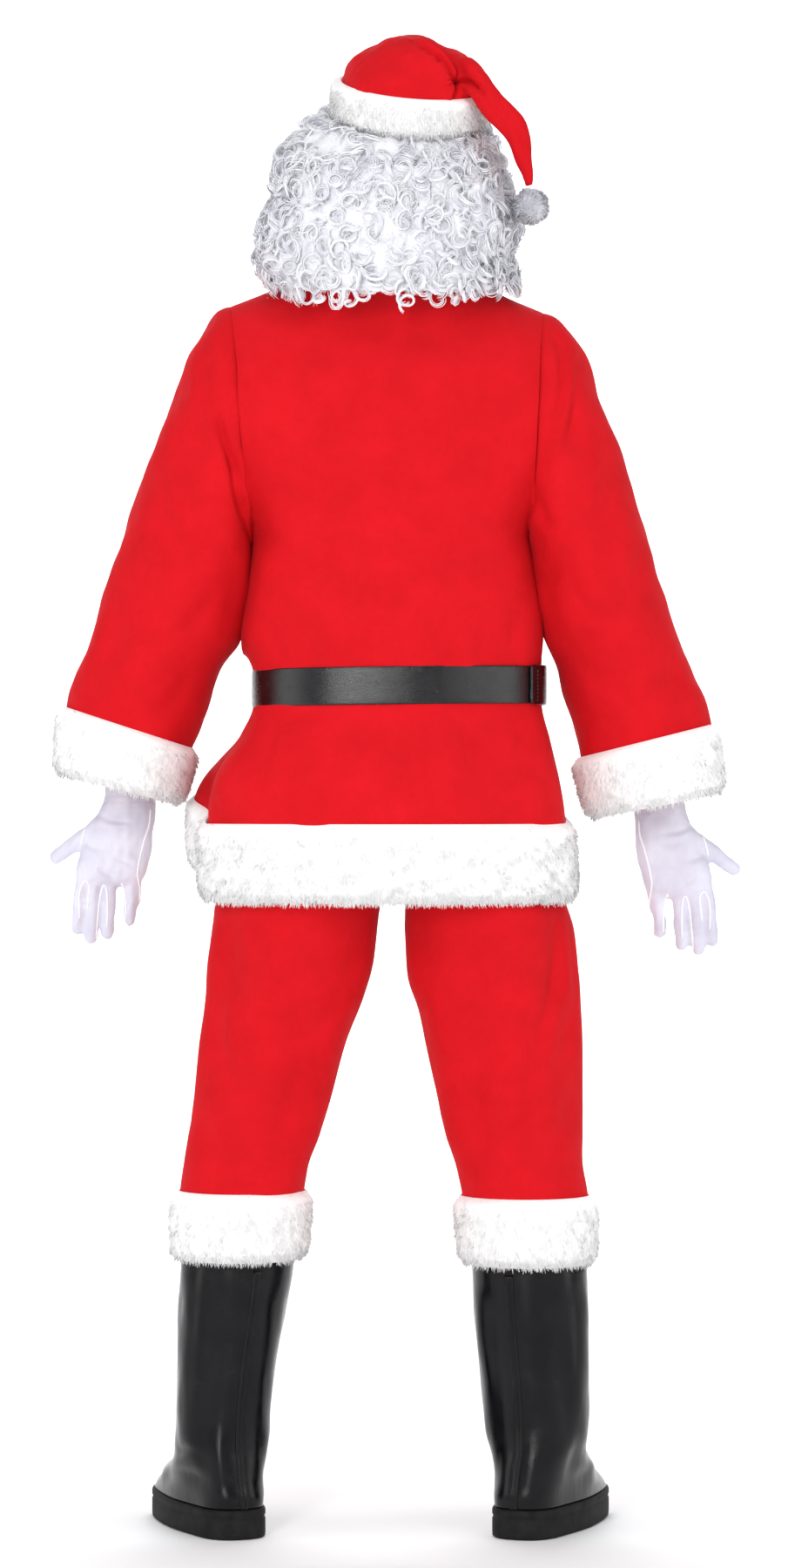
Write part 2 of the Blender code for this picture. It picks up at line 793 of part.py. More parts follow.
def hat_ring(along, out=0.0):
    """A ring of the hat's crown; its first point is on the wearer's right."""
    size = HAT.at(along)
    outer = np.array([size["outer_x"], size["outer_height"]])
    inner = np.array([size["inner_x"], size["inner_height"]])
    ring = []
    for j in range(HAT_COLUMNS):
        angle = math.radians(360 * j / HAT_COLUMNS)
        x, height = (outer + inner) / 2 - (outer - inner) / 2 * math.cos(angle)
        y = size["middle"] + size["depth"] * math.sin(angle)
        ring.append((x, y, height - size["tilt"] * (y - size["middle"])))
    return moved(ring, out)


def close_end(name, outer, inner, material):
    """Builds a wall whose last row is closed over, inside and outside."""
    thing = add_wall(name, outer, inner, material, True)
    mesh = thing.data
    shell = bmesh.new()
    shell.from_mesh(mesh)
    shell.verts.ensure_lookup_table()
    rows, columns = np.asarray(outer).shape[:2]
    last = (rows - 1) * columns
    rim = [
        face
        for face in shell.faces
        if all(v.index % (rows * columns) >= last for v in face.verts)
    ]
    bmesh.ops.delete(shell, geom=rim, context="FACES")
    shell.verts.ensure_lookup_table()
    for first in (last, rows * columns + last):
        shell.faces.new([shell.verts[first + j] for j in range(columns)])
    bmesh.ops.recalc_face_normals(shell, faces=shell.faces)
    shell.to_mesh(mesh)
    shell.free()
    return thing


def tail_rings(inward):
    """Rings across the hat's tail; inward shrinks them and draws their end back."""
    places = np.linspace(0, 1, 10)
    sizes = [TAIL.at(place) for place in places]
    spine = np.array([(size["x"], size["y"], size["height"]) for size in sizes])
    along = np.gradient(spine, axis=0)
    along /= np.linalg.norm(along, axis=1)[:, None]
    spine[-1] -= along[-1] * inward
    rings = []
    for middle, forward, size in zip(spine, along, sizes):
        side = np.cross(forward, (0, 1, 0))
        side /= np.linalg.norm(side)
        back = np.cross(side, forward)
        turns = [math.radians(360 * j / TAIL_COLUMNS) for j in range(TAIL_COLUMNS)]
        radius = size["radius"] - inward
        rings.append([middle + radius * (side * math.cos(a) + back * math.sin(a)) for a in turns])
    return np.array(rings)


def hat():
    places = [0.0, HAT_BAND_TOP, 0.27, 0.36, 0.46, 0.57, 0.68, 0.79, 0.9, 1.0]
    outer = np.array([hat_ring(place) for place in places])
    inner = moved_grid(outer, -CLOTH, around=True)
    inner[0] += (inner[0] - inner[1]) * HOLLOW_SHARE_BELOW
    inner[-1] -= np.array([0, 0, CLOTH])
    crown, hollow = add_loft("crown", outer, "plush"), add_loft("hollow", inner, "plush")
    combine(crown, add_loft("tail", tail_rings(0), "plush"), "UNION")
    combine(hollow, add_loft("tail_hollow", tail_rings(CLOTH), "plush"), "UNION")
    combine(crown, hollow, "DIFFERENCE")
    crown.name = "hat_crown"
    profile = (
        (HAT_BAND_TOP, SEAM, 0),
        (HAT_BAND_TOP, 8, 0),
        (HAT_BAND_TOP * 0.85, FUR_PILE, 0),
        (HAT_BAND_TOP * 0.5, FUR_PILE + 1.5, 0),
        (HAT_BAND_TOP * 0.15, FUR_PILE, 0),
        (0, 8, -2),
        (0, SEAM, -2),
        (0, SEAM, 0),
    )
    rings = [hat_ring(along, out) + np.array([0, 0, lift]) for along, out, lift in profile]
    add_loft("hat_band", np.array(rings).transpose(1, 0, 2), "fur", True)


def pompom():
    shell = bmesh.new()
    bmesh.ops.create_icosphere(shell, subdivisions=2, radius=POMPOM["radius"])
    tufts = np.random.default_rng(3)
    points = []
    for vertex in shell.verts:
        points.append(vertex.co * tufts.uniform(0.94, 1.04))
    top = max(range(len(points)), key=lambda i: points[i].z)
    points[top] = Vector((0, 0, POMPOM["radius"]))
    faces = [[v.index for v in face.verts] for face in shell.faces]
    shell.free()
    place = Vector((POMPOM["x"], POMPOM["y"], POMPOM["height"]))
    add_object("hat_pompom", [p + place for p in points], faces, "fur")


def head_plane(x, y):
    """Height of the tilted plane on which the hat's band ends."""
    return HEAD["height"] + HEAD["side_tilt"] * (x - HEAD["x"]) - HEAD["back_tilt"] * y


def cap_ring(up, inward=0.0):
    size = CAP.at(up)
    x0, y0 = HEAD["x"] - 0.06 * up, 0.31 * up
    ring = []
    for j in range(HAT_COLUMNS):
        angle = math.radians(360 * j / HAT_COLUMNS)
        x, y = x0 - size["width"] * math.cos(angle), y0 + size["depth"] * math.sin(angle)
        ring.append((x, y, head_plane(x, y) + up * 1.05))
    return moved(ring, -inward)


def wig_cap():
    ups = (-2, 22, 44, 58, 68, 75, 79)
    outer = np.array([cap_ring(max(up, 0)) + np.array([0, 0, min(up, 0)]) for up in ups])
    inner = np.array([cap_ring(max(up, 0), CLOTH) + np.array([0, 0, min(up, 0)]) for up in ups])
    inner[-1] = inner[-1] - np.array([0, 0, CLOTH])
    close_end("wig_cap", outer, inner, "hair")


def wig_row(down, inward):
    size = WIG.at(down)
    start, end = WIG_ENDS
    row = []
    for i in range(WIG_COLUMNS + 1):
        angle = math.radians(start + (end - start) * i / WIG_COLUMNS)
        c, s = math.cos(angle), math.sin(angle)
        x = (size["left" if c > 0 else "right"] - inward) * signed_power(c, 0.92)
        y = (size["back" if s > 0 else "front"] - inward) * signed_power(s, 0.92)
        level = size["height"] - size["tilt"] * y
        near_hat = 1 - ease(down / 0.1)
        level += (head_plane(x, y) - 2 - SEAM - level) * near_hat
        row.append((x, y, level))
    return np.array(row)


def wig_curls(jacket):
    """A hollow mass of curls, open over the face, resting on the jacket's shoulders."""
    places = [i / WIG_ROWS for i in range(WIG_ROWS + 1)]
    places[0:1] = [0.0, 0.04]
    tufts = np.random.default_rng(11)
    outer, inner = [], []
    for place in places:
        hair = WIG_HAIR * (0.5 + 0.5 * ease(place / 0.3))
        outer.append(wig_row(place, 0))
        inner.append(wig_row(place, hair))
        if place > 0:
            outline = outer[-1] * np.array([1, 1, 0])
            outline /= np.linalg.norm(outline, axis=1)[:, None]
            curl = tufts.uniform(-6, 5, len(outline))
            outer[-1] = outer[-1] + outline * curl[:, None]
    outer, inner = np.array(outer), np.array(inner)
    ragged = tufts.uniform(0, 12, outer.shape[1])
    outer[-1, :, 2] += ragged
    for surface in (outer, inner):
        for point in surface.reshape(-1, 3):
            rest = max((surface_height(tree, point) for tree in jacket), default=None)
            if rest is not None and point[2] < rest + WIG_CLEAR:
                point[2] = rest + WIG_CLEAR
    add_wall("wig_curls", outer, inner, "hair", False)


def surface_height(tree, point):
    """Height of a surface under a high point, or far below where there is none."""
    start = Vector((point[0] * MM, point[1] * MM, 1.0))
    hit = tree.ray_cast(start, Vector((0, 0, -1)))[0]
    return -1e6 if hit is None else hit.z / MM + ORIGIN_HEIGHT


# Boots


def boot_ring(side, height, out=0.0):
    """A ring of a boot cover; above the fur cuff's edge it follows the trouser leg."""
    mirror = np.array([1 if side == "left" else -1, 1, 1])
    if height >= LEG_HEM[side]:
        return leg_ring(side, height, out - CLOTH - 2 * SEAM)
    size = BOOT[side].at(height)
    foot = ease((130 - height) / 60)
    exponent = 1 - 0.2 * foot
    ring = []
    for j in range(2 * LEG_COLUMNS):
        angle = math.radians(360 * j / (2 * LEG_COLUMNS)) - TOE_OUT
        along = signed_power(math.sin(angle), exponent)
        along *= size["back"] if along > 0 else size["front"]
        narrow = HEEL_SHARE + (1 - HEEL_SHARE) * ease((40 - along) / BALL_DISTANCE)
        wide = size["width"] * (1 + (narrow - 1) * foot)
        across = signed_power(math.cos(angle), exponent) * wide
        c, s = math.cos(TOE_OUT), math.sin(TOE_OUT)
        x, y = size["x"] + across * c - along * s, size["y"] + across * s + along * c
        ring.append((x, y, height))
    return moved(ring, out) * mirror


def boot_heights(side):
    hem = LEG_HEM[side]
    return [hem + 40, hem, hem - 8, 272, 230, 187, 144, 112, 88, 66, 48, 36]


def boot(side):
    heights = boot_heights(side)
    outer = np.array([boot_ring(side, height) for height in heights])
    inner = np.array([boot_ring(side, height, -VINYL) for height in heights])
    add_wall(f"boot_{side}", outer, inner, "vinyl", True)
    boot_seam(side, heights[2:])
    sole = [boot_ring(side, 36, out) for out in (1, SOLE_PROUD, SOLE_PROUD, SOLE_PROUD - 1)]
    for ring, height in zip(sole, (0, 4, 30, SOLE_HEIGHT + 1 - SEAM)):
        ring[:, 2] = height
    add_loft(f"boot_sole_{side}", sole, "sole")


def boot_seam(side, heights):
    """The piped seam up the back, made of the cover's points at its heel column, moved out."""
    heel = LEG_COLUMNS // 2 + 1
    sections = []
    for height in heights:
        near, far = boot_ring(side, height, SEAM), boot_ring(side, height, 3.0)
        section = []
        for ring, reach in ((near, 4.0), (far, 2.5)):
            middle = ring[heel]
            sides = []
            for neighbour in (ring[heel - 1], ring[heel + 1]):
                step = neighbour - middle
                sides.append(middle + step * reach / np.linalg.norm(step))
            section += [sides[0], middle, sides[1]][:: 1 if ring is near else -1]
        sections.append(section)
    add_loft(f"boot_seam_{side}", sections, "vinyl")


# Gloves


def glove_palm_rings(side, grow):
    shift_x, shift_y, shift_height = GLOVE_SHIFT[side]
    rings = []
    places = [0.0, 0.2, 0.45, 0.75, 1.0]
    for place in places:
        size = GLOVE_PALM.at(place)
        ring = []
        for j in range(12):
            angle = math.radians(30 * j)
            x = size["x"] + shift_x + (size["width"] + grow) * signed_power(math.cos(angle), 0.8)
            y = shift_y + (size["depth"] + grow) * signed_power(math.sin(angle), 0.8)
            height = size["height"] + shift_height - (grow if place == 1.0 else 0)
            ring.append((x, y, height))
        rings.append(ring)
    if grow < 0:
        rings[0] = [(x, y, height + 10) for x, y, height in rings[0]]
    return rings


def digit_rings(side, digit, grow):
    name, root_x, root_height, tip_x, tip_height, root, tip = digit
    shift_x, shift_y, shift_height = GLOVE_SHIFT[side]
    curl = -20 if name == "thumb" else -8
    shift = np.array([shift_x, shift_y, shift_height])
    start = shift + np.array([root_x, 0, root_height])
    end = shift + np.array([tip_x, curl, tip_height])
    axis = (end - start) / np.linalg.norm(end - start)
    across = np.cross(axis, (0, 1, 0))
    across /= np.linalg.norm(across)
    depth = np.cross(across, axis)
    length = np.linalg.norm(end - start) + grow
    sections = (
        (0, root),
        (0.5 * length, (root + tip) / 2),
        (length - tip, tip),
        (length - 0.25 * tip, 0.68 * tip),
    )
    rings = []
    for along, radius in sections:
        ring = []
        for j in range(6):
            angle = math.radians(60 * j + 30)
            ring.append(
                start
                + axis * along
                + across * (radius + grow) * math.cos(angle)
                + depth * (radius + grow) * 0.92 * math.sin(angle)
            )
        rings.append(ring)
    return rings


def solid_of(thing):
    """The mesh of an object as its modifiers leave it."""
    graph = bpy.context.evaluated_depsgraph_get()
    return bpy.data.meshes.new_from_object(thing.evaluated_get(graph))


def joined_glove(side, grow):
    """The palm and the digits as one closed form, grown or shrunk."""
    mirror = np.array([1 if side == "left" else -1, 1, 1])
    palm = add_loft("palm", np.array(glove_palm_rings(side, grow)) * mirror, "satin")
    for digit in GLOVE_DIGITS:
        piece = add_loft("digit", np.array(digit_rings(side, digit, grow)) * mirror, "satin")
        combine(palm, piece, "UNION")
    return palm


def combine(thing, other, operation):
    cut = thing.modifiers.new("combine", "BOOLEAN")
    cut.operation = operation
    cut.object = other
    cut.solver = "EXACT"
    old = thing.data
    thing.data = solid_of(thing)
    thing.modifiers.clear()
    bpy.data.meshes.remove(old)
    bpy.data.objects.remove(other)


def glove(side):
    thing = joined_glove(side, 0.0)
    hollow = joined_glove(side, -SATIN)
    combine(thing, hollow, "DIFFERENCE")
    thing.name = f"glove_{side}"


def make_materials():
    made = {}
    for name, (colour, roughness, metallic) in COLOURS.items():
        material = bpy.data.materials.new(name)
        material.use_nodes = True
        shader = material.node_tree.nodes["Principled BSDF"]
        shader.inputs["Base Color"].default_value = (*colour, 1)
        shader.inputs["Roughness"].default_value = roughness
        shader.inputs["Metallic"].default_value = metallic
        made[name] = material
    return made


def jacket_trees():
    graph = bpy.context.evaluated_depsgraph_get()
    names = ("jacket_back", "jacket_front_left", "jacket_front_right")
    names += ("jacket_sleeve_left", "jacket_sleeve_right")
    return [BVHTree.FromObject(bpy.data.objects[name], graph) for name in names]


for stale in list(bpy.data.objects):
    bpy.data.objects.remove(stale)
MATERIALS = make_materials()
jacket_body()
hem_fur()
belt()
waistband()
for wearer_side in ("left", "right"):
    sleeve(wearer_side)
    leg_panels(wearer_side)
    leg_fur(wearer_side)
    boot(wearer_side)
    glove(wearer_side)
hat()
pompom()
wig_cap()
wig_curls(jacket_trees())
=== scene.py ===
"""Looks of the Santa suit: plush, fur, curls, leatherette, vinyl and satin over its frame.

Lengths in the tables are millimetres, with heights from the floor under the soles; meshes are
in metres, from the origin on the wearer's shoulders. The wearer faces -Y and +X is their left.
Creases are placed in pixels of the 905 x 1800 view from behind; seen() gives any point's pixel.
"""

import math

import bmesh
import bpy
import numpy as np
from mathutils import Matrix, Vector
from mathutils.bvhtree import BVHTree


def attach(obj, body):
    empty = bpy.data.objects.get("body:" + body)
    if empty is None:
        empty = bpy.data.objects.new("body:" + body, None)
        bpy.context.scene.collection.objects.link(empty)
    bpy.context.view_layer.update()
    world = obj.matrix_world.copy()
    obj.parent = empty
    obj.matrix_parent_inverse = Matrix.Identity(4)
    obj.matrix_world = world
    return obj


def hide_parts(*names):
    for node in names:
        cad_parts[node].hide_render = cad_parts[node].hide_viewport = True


MM = 0.001
ORIGIN_HEIGHT = 1530.0
ORIGIN = np.array([0, 0, ORIGIN_HEIGHT])
SIDES = {"left": 1, "right": -1}
MIRROR = {side: np.array([sign, 1, 1]) for side, sign in SIDES.items()}
SEAM = 0.3
CLOTH = 2.0
VINYL = 1.8
LEATHER = 3.0
FUR_PILE = 13.0
SQUARENESS = 2.3

FRAME_SIZE = (905, 1800)
PIXEL = 1.07
FLOOR_ROW = 1760
MIDDLE_COLUMN = 450
CAMERA_DISTANCE = 6000.0
CAMERA_HEIGHT = 920.0


class Table:
    """Rows of named columns, joined by smooth curves that never overshoot their rows."""

    def __init__(self, names, *rows):
        self.names = names.split()
        self.rows = np.array(sorted(rows), float)

    def at(self, places):
        """The columns at each place, as arrays of the places' own shape."""
        keys = self.rows[:, 0]
        step = np.diff(keys)
        places = np.clip(np.asarray(places, float), keys[0], keys[-1])
        index = np.clip(np.searchsorted(keys, places) - 1, 0, len(keys) - 2)
        t = (places - keys[index]) / step[index]
        values = {}
        for name, column in zip(self.names[1:], self.rows[:, 1:].T):
            slope = np.diff(column) / step
            tangent = np.concatenate([slope[:1], np.zeros(len(slope) - 1), slope[-1:]])
            same = slope[:-1] * slope[1:] > 0
            total = np.where(same, slope[:-1] + slope[1:], 1)
            tangent[1:-1] = np.where(same, 2 * slope[:-1] * slope[1:] / total, 0)
            from_left, from_right = tangent[index] * step[index], tangent[index + 1] * step[index]
            values[name] = (
                column[index] * (1 + 2 * t) * (1 - t) ** 2
                + from_left * t * (1 - t) ** 2
                + column[index + 1] * t * t * (3 - 2 * t)
                + from_right * t * t * (t - 1)
            )
        return values


# Sizes of the garments, the same as the solids'


# The jacket's body below the armholes: how far each side is from the middle.
TORSO = Table(
    "height left right back front",
    (1219, 171, 169, 128, 130),
    (1168, 178, 178, 130, 135),
    (1104, 186, 187, 132, 140),
    (1082, 186, 185, 131, 140),
    (1068, 169, 184, 122, 130),
    (1010, 169, 184, 122, 130),
    (998, 177, 187, 128, 136),
    (985, 184, 192, 133, 140),
    (963, 195, 197, 139, 144),
    (942, 212, 202, 144, 148),
    (920, 222, 207, 148, 152),
    (878, 229, 213, 152, 156),
    (776, 227, 219, 158, 162),
)
UNDERARM_HEIGHT = 1219
SHOULDER_TIP = {"left": (197, 1507), "right": (185, 1499)}
NECK_POINT_HEIGHT = 1549
NECK_HEIGHT = {"back": 1527, "front": 1468}
ARMHOLE_DEPTH = 95
# Depth of the middle of the back and of the front, from the underarm (0) to the neck (1).
UPPER_BODY = Table(
    "rise back front",
    (0.0, 128, 130),
    (0.35, 129, 133),
    (0.65, 122, 124),
    (0.85, 102, 108),
    (1.0, 66, 84),
)
HEM_FUR_TOP = 872
HEM_HEIGHT = 779
HEM_RISE = {"left": 70, "right": 24}

# Folds of the jacket's skirt, in degrees from the wearer's left side towards the back.
SKIRT_FOLDS = (
    # angle, half width, depth
    (22, 16, 7),
    (-1, 12, -7),
    (-19, 22, 26),
    (62, 18, -5),
    (96, 15, 5),
    (128, 16, -5),
    (160, 14, 4),
    (205, 18, 9),
    (232, 18, -7),
    (262, 20, 7),
    (292, 18, -6),
)

# Sleeves: the line along the outside, the line along the inside and the depth between.
SLEEVE = {
    "left": Table(
        "along outer_x outer_height inner_x inner_height depth middle",
        (0.00, 197, 1507, 171, 1219, 95, 0),
        (0.05, 213, 1502, 173.4, 1214, 99, 0),
        (0.16, 243, 1455, 175.5, 1200, 104, 0),
        (0.28, 271, 1385, 178, 1178, 104, 0),
        (0.40, 297, 1322, 182, 1150, 101, -2),
        (0.52, 323, 1250, 189, 1100, 97, -6),
        (0.66, 357, 1150, 207, 1062, 92, -12),
        (0.80, 383, 1068, 229, 1010, 87, -18),
        (0.90, 402, 1012, 247, 962, 84, -22),
        (1.00, 408, 938, 266, 902, 80, -24),
    ),
    "right": Table(
        "along outer_x outer_height inner_x inner_height depth middle",
        (0.00, 185, 1499, 169, 1219, 95, 0),
        (0.05, 198, 1494, 171.4, 1214, 99, 0),
        (0.16, 233, 1450, 173.5, 1200, 104, 0),
        (0.28, 262, 1376, 176.5, 1178, 104, 0),
        (0.40, 287, 1306, 181.5, 1150, 101, -2),
        (0.52, 309, 1241, 190, 1100, 97, -6),
        (0.66, 341, 1138, 203, 1058, 92, -12),
        (0.80, 372, 1055, 220, 1000, 87, -18),
        (0.90, 393, 990, 231, 950, 84, -22),
        (1.00, 401, 915, 250, 884, 80, -24),
    ),
}
SLEEVE_FUR_FROM = 0.895
# Folds of a sleeve: place along it, degrees from the inside line towards the back.
SLEEVE_FOLDS = (
    # along, half length, angle, half width, depth
    (0.24, 0.16, 62, 26, 5),
    (0.26, 0.13, 108, 22, -6),
    (0.44, 0.16, 40, 24, -6),
    (0.55, 0.20, 85, 26, 5),
    (0.76, 0.20, 128, 26, -5),
    (0.48, 0.20, 300, 26, -6),
    (0.70, 0.22, 240, 28, 6),
)

# A trouser leg: the middle of its ring, half its width and its depth behind and before.
LEG = {
    "left": Table(
        "height middle width back front",
        (1021, 0, 164, 115, 122),
        (960, 0, 176, 124, 128),
        (880, 22, 178, 134, 130),
        (820, 68, 142, 128, 122),
        (779, 114, 103, 118, 113),
        (749, 118.5, 102, 108, 104),
        (706, 123.6, 102, 100, 97),
        (663, 131, 98, 94, 92),
        (600, 147, 90.5, 87, 86),
        (535, 159, 85, 83, 82),
        (492, 168.5, 81, 81, 80),
        (449, 180, 77, 79, 78),
        (420, 184, 77, 78, 77),
        (338, 188, 73.5, 73, 73),
    ),
    "right": Table(
        "height middle width back front",
        (1021, 0, 176, 115, 122),
        (960, 0, 182, 124, 128),
        (880, 22, 178, 134, 130),
        (820, 68, 142, 128, 122),
        (779, 113.5, 100, 118, 113),
        (740, 120, 105, 109, 105),
        (685, 125, 106, 101, 98),
        (642, 133, 100.5, 96, 94),
        (599, 138, 97, 90, 89),
        (535, 145.5, 90, 85, 84),
        (492, 150.3, 85, 82, 81),
        (449, 157.5, 78.5, 79, 78),
        (412, 164, 78, 78, 77),
        (332, 167, 74, 73, 73),
    ),
}
LEG_TOP = 1021
LEG_HEM = {"left": 341, "right": 335}
LEG_FUR_HEIGHT = 84
LEG_FOLDS = (
    # height, half height, degrees from the outside towards the back, half width, depth
    (690, 170, 38, 22, -7),
    (700, 190, 78, 24, 6),
    (560, 130, 120, 24, -5),
    (620, 170, 300, 26, -6),
    (560, 150, 240, 26, 5),
)

BELT_MIDDLE = 1039
BELT_HEIGHT = 46
BELT_SLOPE = -0.012
WAISTBAND = (1022, 1060)

# The hat's crown, from the band's lower edge to its top, and the tail that hangs from it.
HAT_BAND_TOP = 0.18
HAT = Table(
    "along outer_x outer_height inner_x inner_height depth middle tilt",
    (0.00, 66, 1741, -106, 1730, 104, 0, 0.33),
    (0.18, 62, 1784, -112, 1770, 104, 12, 0.30),
    (0.35, 57, 1801, -110, 1790, 99, 14, 0.22),
    (0.55, 39, 1815, -98, 1805, 86, 17, 0.12),
    (0.75, 14, 1827, -76, 1818, 62, 20, 0.05),
    (0.90, -8, 1834, -50, 1829, 34, 22, 0.02),
    (1.00, -20, 1838, -34, 1837, 10, 22, 0.0),
)
TAIL = Table(
    "along x y height radius",
    (0.00, -60, 28, 1785, 29),
    (0.20, -87, 69, 1786, 17),
    (0.42, -114, 95, 1752, 16),
    (0.59, -137.5, 92, 1725, 15.5),
    (0.75, -155, 84, 1697, 14),
    (0.85, -161, 78, 1677, 11.5),
    (0.95, -165, 73, 1656, 7.5),
    (1.00, -166, 72, 1645, 5),
)
POMPOM = {"x": -169, "y": 72, "height": 1621.4, "radius": 23}
CAP = Table(
    "up width depth",
    (0, 83.5, 101.3),
    (30, 81, 98),
    (46, 76, 93),
    (58, 66, 82),
    (68, 50, 66),
    (75, 32, 44),
    (79, 15, 20),
)
HEAD = {"x": -20, "y": 0, "height": 1735.5, "back_tilt": 0.33, "side_tilt": 0.064}

# The curls: how far they reach to each side, in rows from the hat's band down.
WIG = Table(
    "down height tilt left right back front",
    (0.00, 1733, 0.33, 84, 112, 106, 92),
    (0.10, 1712, 0.27, 126, 126, 124, 97),
    (0.25, 1684, 0.17, 146, 136, 138, 98),
    (0.42, 1645, 0.10, 147, 149, 146, 98),
    (0.60, 1603, 0.08, 166, 158, 150, 96),
    (0.78, 1566, 0.10, 168, 150, 152, 90),
    (1.00, 1530, 0.22, 150, 156, 150, 80),
)
WIG_ENDS = (-48, 228)
WIG_HAIR = 30

# Boots: the shaft's ring by height, then the foot, in the foot's own direction.
BOOT = {
    "left": Table(
        "height x y width back front",
        (425, 186, 0, 69, 68, 68),
        (338, 189.5, 0, 70, 68, 66),
        (272, 195.5, 0, 67, 63, 62),
        (230, 200, 0, 64, 60, 60),
        (187, 203.5, 0, 61, 57, 60),
        (144, 206, 0, 58.5, 54, 64),
        (112, 206, 2, 57, 52, 76),
        (88, 204, 4, 54, 51, 104),
        (66, 202, 6, 51, 50, 152),
        (48, 200, 8, 50, 49, 196),
        (36, 200, 8, 49, 48, 214),
    ),
    "right": Table(
        "height x y width back front",
        (418, 163, 0, 70, 68, 68),
        (332, 169, 0, 71.5, 68, 66),
        (272, 171, 0, 71, 64, 63),
        (230, 173, 0, 69.5, 61, 61),
        (187, 175.5, 0, 67, 58, 61),
        (144, 177, 0, 64, 55, 65),
        (112, 177, 2, 60, 53, 77),
        (88, 174, 4, 56, 52, 106),
        (66, 171, 6, 53, 51, 156),
        (48, 169, 8, 51, 50, 202),
        (36, 169, 8, 50, 49, 220),
    ),
}
TOE_OUT = math.radians(22.5)
HEEL_SHARE = 0.78
BALL_DISTANCE = 130
SOLE_HEIGHT = 35
SOLE_PROUD = 3

# Gloves, hanging from the sleeves with the palms forward.
GLOVE_PALM = Table(
    "along x height width depth",
    (0.00, 325, 930, 31, 24),
    (0.20, 326, 905, 32, 22),
    (0.45, 333, 872, 38, 19),
    (0.75, 346, 826, 44, 17),
    (1.00, 352, 792, 41, 13),
)
GLOVE_DIGITS = (
    # name, root x, root height, tip x, tip height, root radius, tip radius
    ("index", 384, 810, 393, 731, 9.2, 7.6),
    ("middle", 370, 804, 375.5, 720, 9.6, 8.2),
    ("ring", 350, 804, 354.5, 725, 9.4, 8.0),
    ("little", 324, 812, 327, 742, 9.2, 7.6),
    ("thumb", 364, 868, 427, 823, 12.5, 8.6),
)
GLOVE_SHIFT = {"left": np.array([0, -72.7, 0]), "right": np.array([7, -74.5, -14])}


# Shapes


def power(value, exponent):
    return np.sign(value) * np.abs(value) ** exponent


def bump(distance, half_width):
    """A soft swell: 1 in its middle, 0 from half_width away."""
    near = np.abs(distance) < half_width
    return np.where(near, 0.5 + 0.5 * np.cos(np.pi * distance / half_width), 0.0)


def ease(share):
    share = np.clip(share, 0.0, 1.0)
    return share * share * (3 - 2 * share)


def turn_between(angle, other):
    return (angle - other + 180) % 360 - 180


def unit(vectors):
    return vectors / np.maximum(np.linalg.norm(vectors, axis=-1, keepdims=True), 1e-9)


def round_angles(count):
    """The degrees of count points round a ring."""
    return 360 * np.arange(count) / count


def cosine(degrees):
    return np.cos(np.radians(degrees))


def sine(degrees):
    return np.sin(np.radians(degrees))


def moved(rings, distance):
    """Closed rings of points, the last two axes, moved out (or in, below 0) in their planes."""
    following, previous = np.roll(rings, -1, -2), np.roll(rings, 1, -2)
    spokes = rings - rings.mean(-2, keepdims=True)
    next_spokes = following - rings.mean(-2, keepdims=True)
    plane = unit(np.cross(spokes, next_spokes).sum(-2, keepdims=True))
    outward = unit(np.cross(following - previous, plane))
    return rings + outward * np.asarray(distance, float)[..., None]


def normals(grid, around, middle=(0, 0)):
    """Unit normals of a grid of points, away from its rings' middles or from a middle line."""
    down = np.gradient(grid, axis=0)
    if around:
        across = np.roll(grid, -1, 1) - np.roll(grid, 1, 1)
        away = grid - grid.mean(1, keepdims=True)
    else:
        across = np.gradient(grid, axis=1)
        away = (grid - np.array([*middle, 0])) * np.array([1, 1, 0])
    normal = unit(np.cross(down, across))
    return normal if (normal * away).sum() > 0 else -normal


def seen(points):
    """The pixel of the view from behind at which each point shows."""
    nearer = CAMERA_DISTANCE / (CAMERA_DISTANCE - points[..., 1])
    column = MIDDLE_COLUMN - points[..., 0] * nearer / PIXEL
    height = CAMERA_HEIGHT + (points[..., 2] - CAMERA_HEIGHT) * nearer
    return np.stack([column, FLOOR_ROW - height / PIXEL], -1)


def unevenness(points, wavelength, seed):
    """Smooth, uneven values of about -1 to 1, the same for the same point and seed."""
    waves = np.random.default_rng(seed)
    total = 0.0
    for _ in range(7):
        direction = unit(waves.normal(size=3)) * 2 * np.pi / (wavelength * waves.uniform(0.6, 1.6))
        total = total + np.sin(points @ direction + waves.uniform(0, 2 * np.pi))
    return total / 2.6


def smooth_line(points, count):
    """A line of count points that runs smoothly through the given few."""
    points = np.asarray(points, float)
    table = Table("along x y", *[(i, *point) for i, point in enumerate(points)])
    places = table.at(np.linspace(0, len(points) - 1, count))
    return np.stack([places["x"], places["y"]], -1)


def beside(spots, line):
    """How far along a line each spot is, 0 to 1, and how far to the side of it."""
    best = np.full(len(spots), 1e9)
    place, aside = np.zeros(len(spots)), np.zeros(len(spots))
    for k, (a, b) in enumerate(zip(line[:-1], line[1:])):
        step = b - a
        t = np.clip(((spots - a) @ step) / (step @ step), 0, 1)
        gap = spots - a - t[:, None] * step
        distance = np.linalg.norm(gap, axis=1)
        closer = distance < best
        side = np.sign(step[0] * gap[:, 1] - step[1] * gap[:, 0])
        best = np.where(closer, distance, best)
        place = np.where(closer, (k + t) / (len(line) - 1), place)
        aside = np.where(closer, side * distance, aside)
    return place, aside


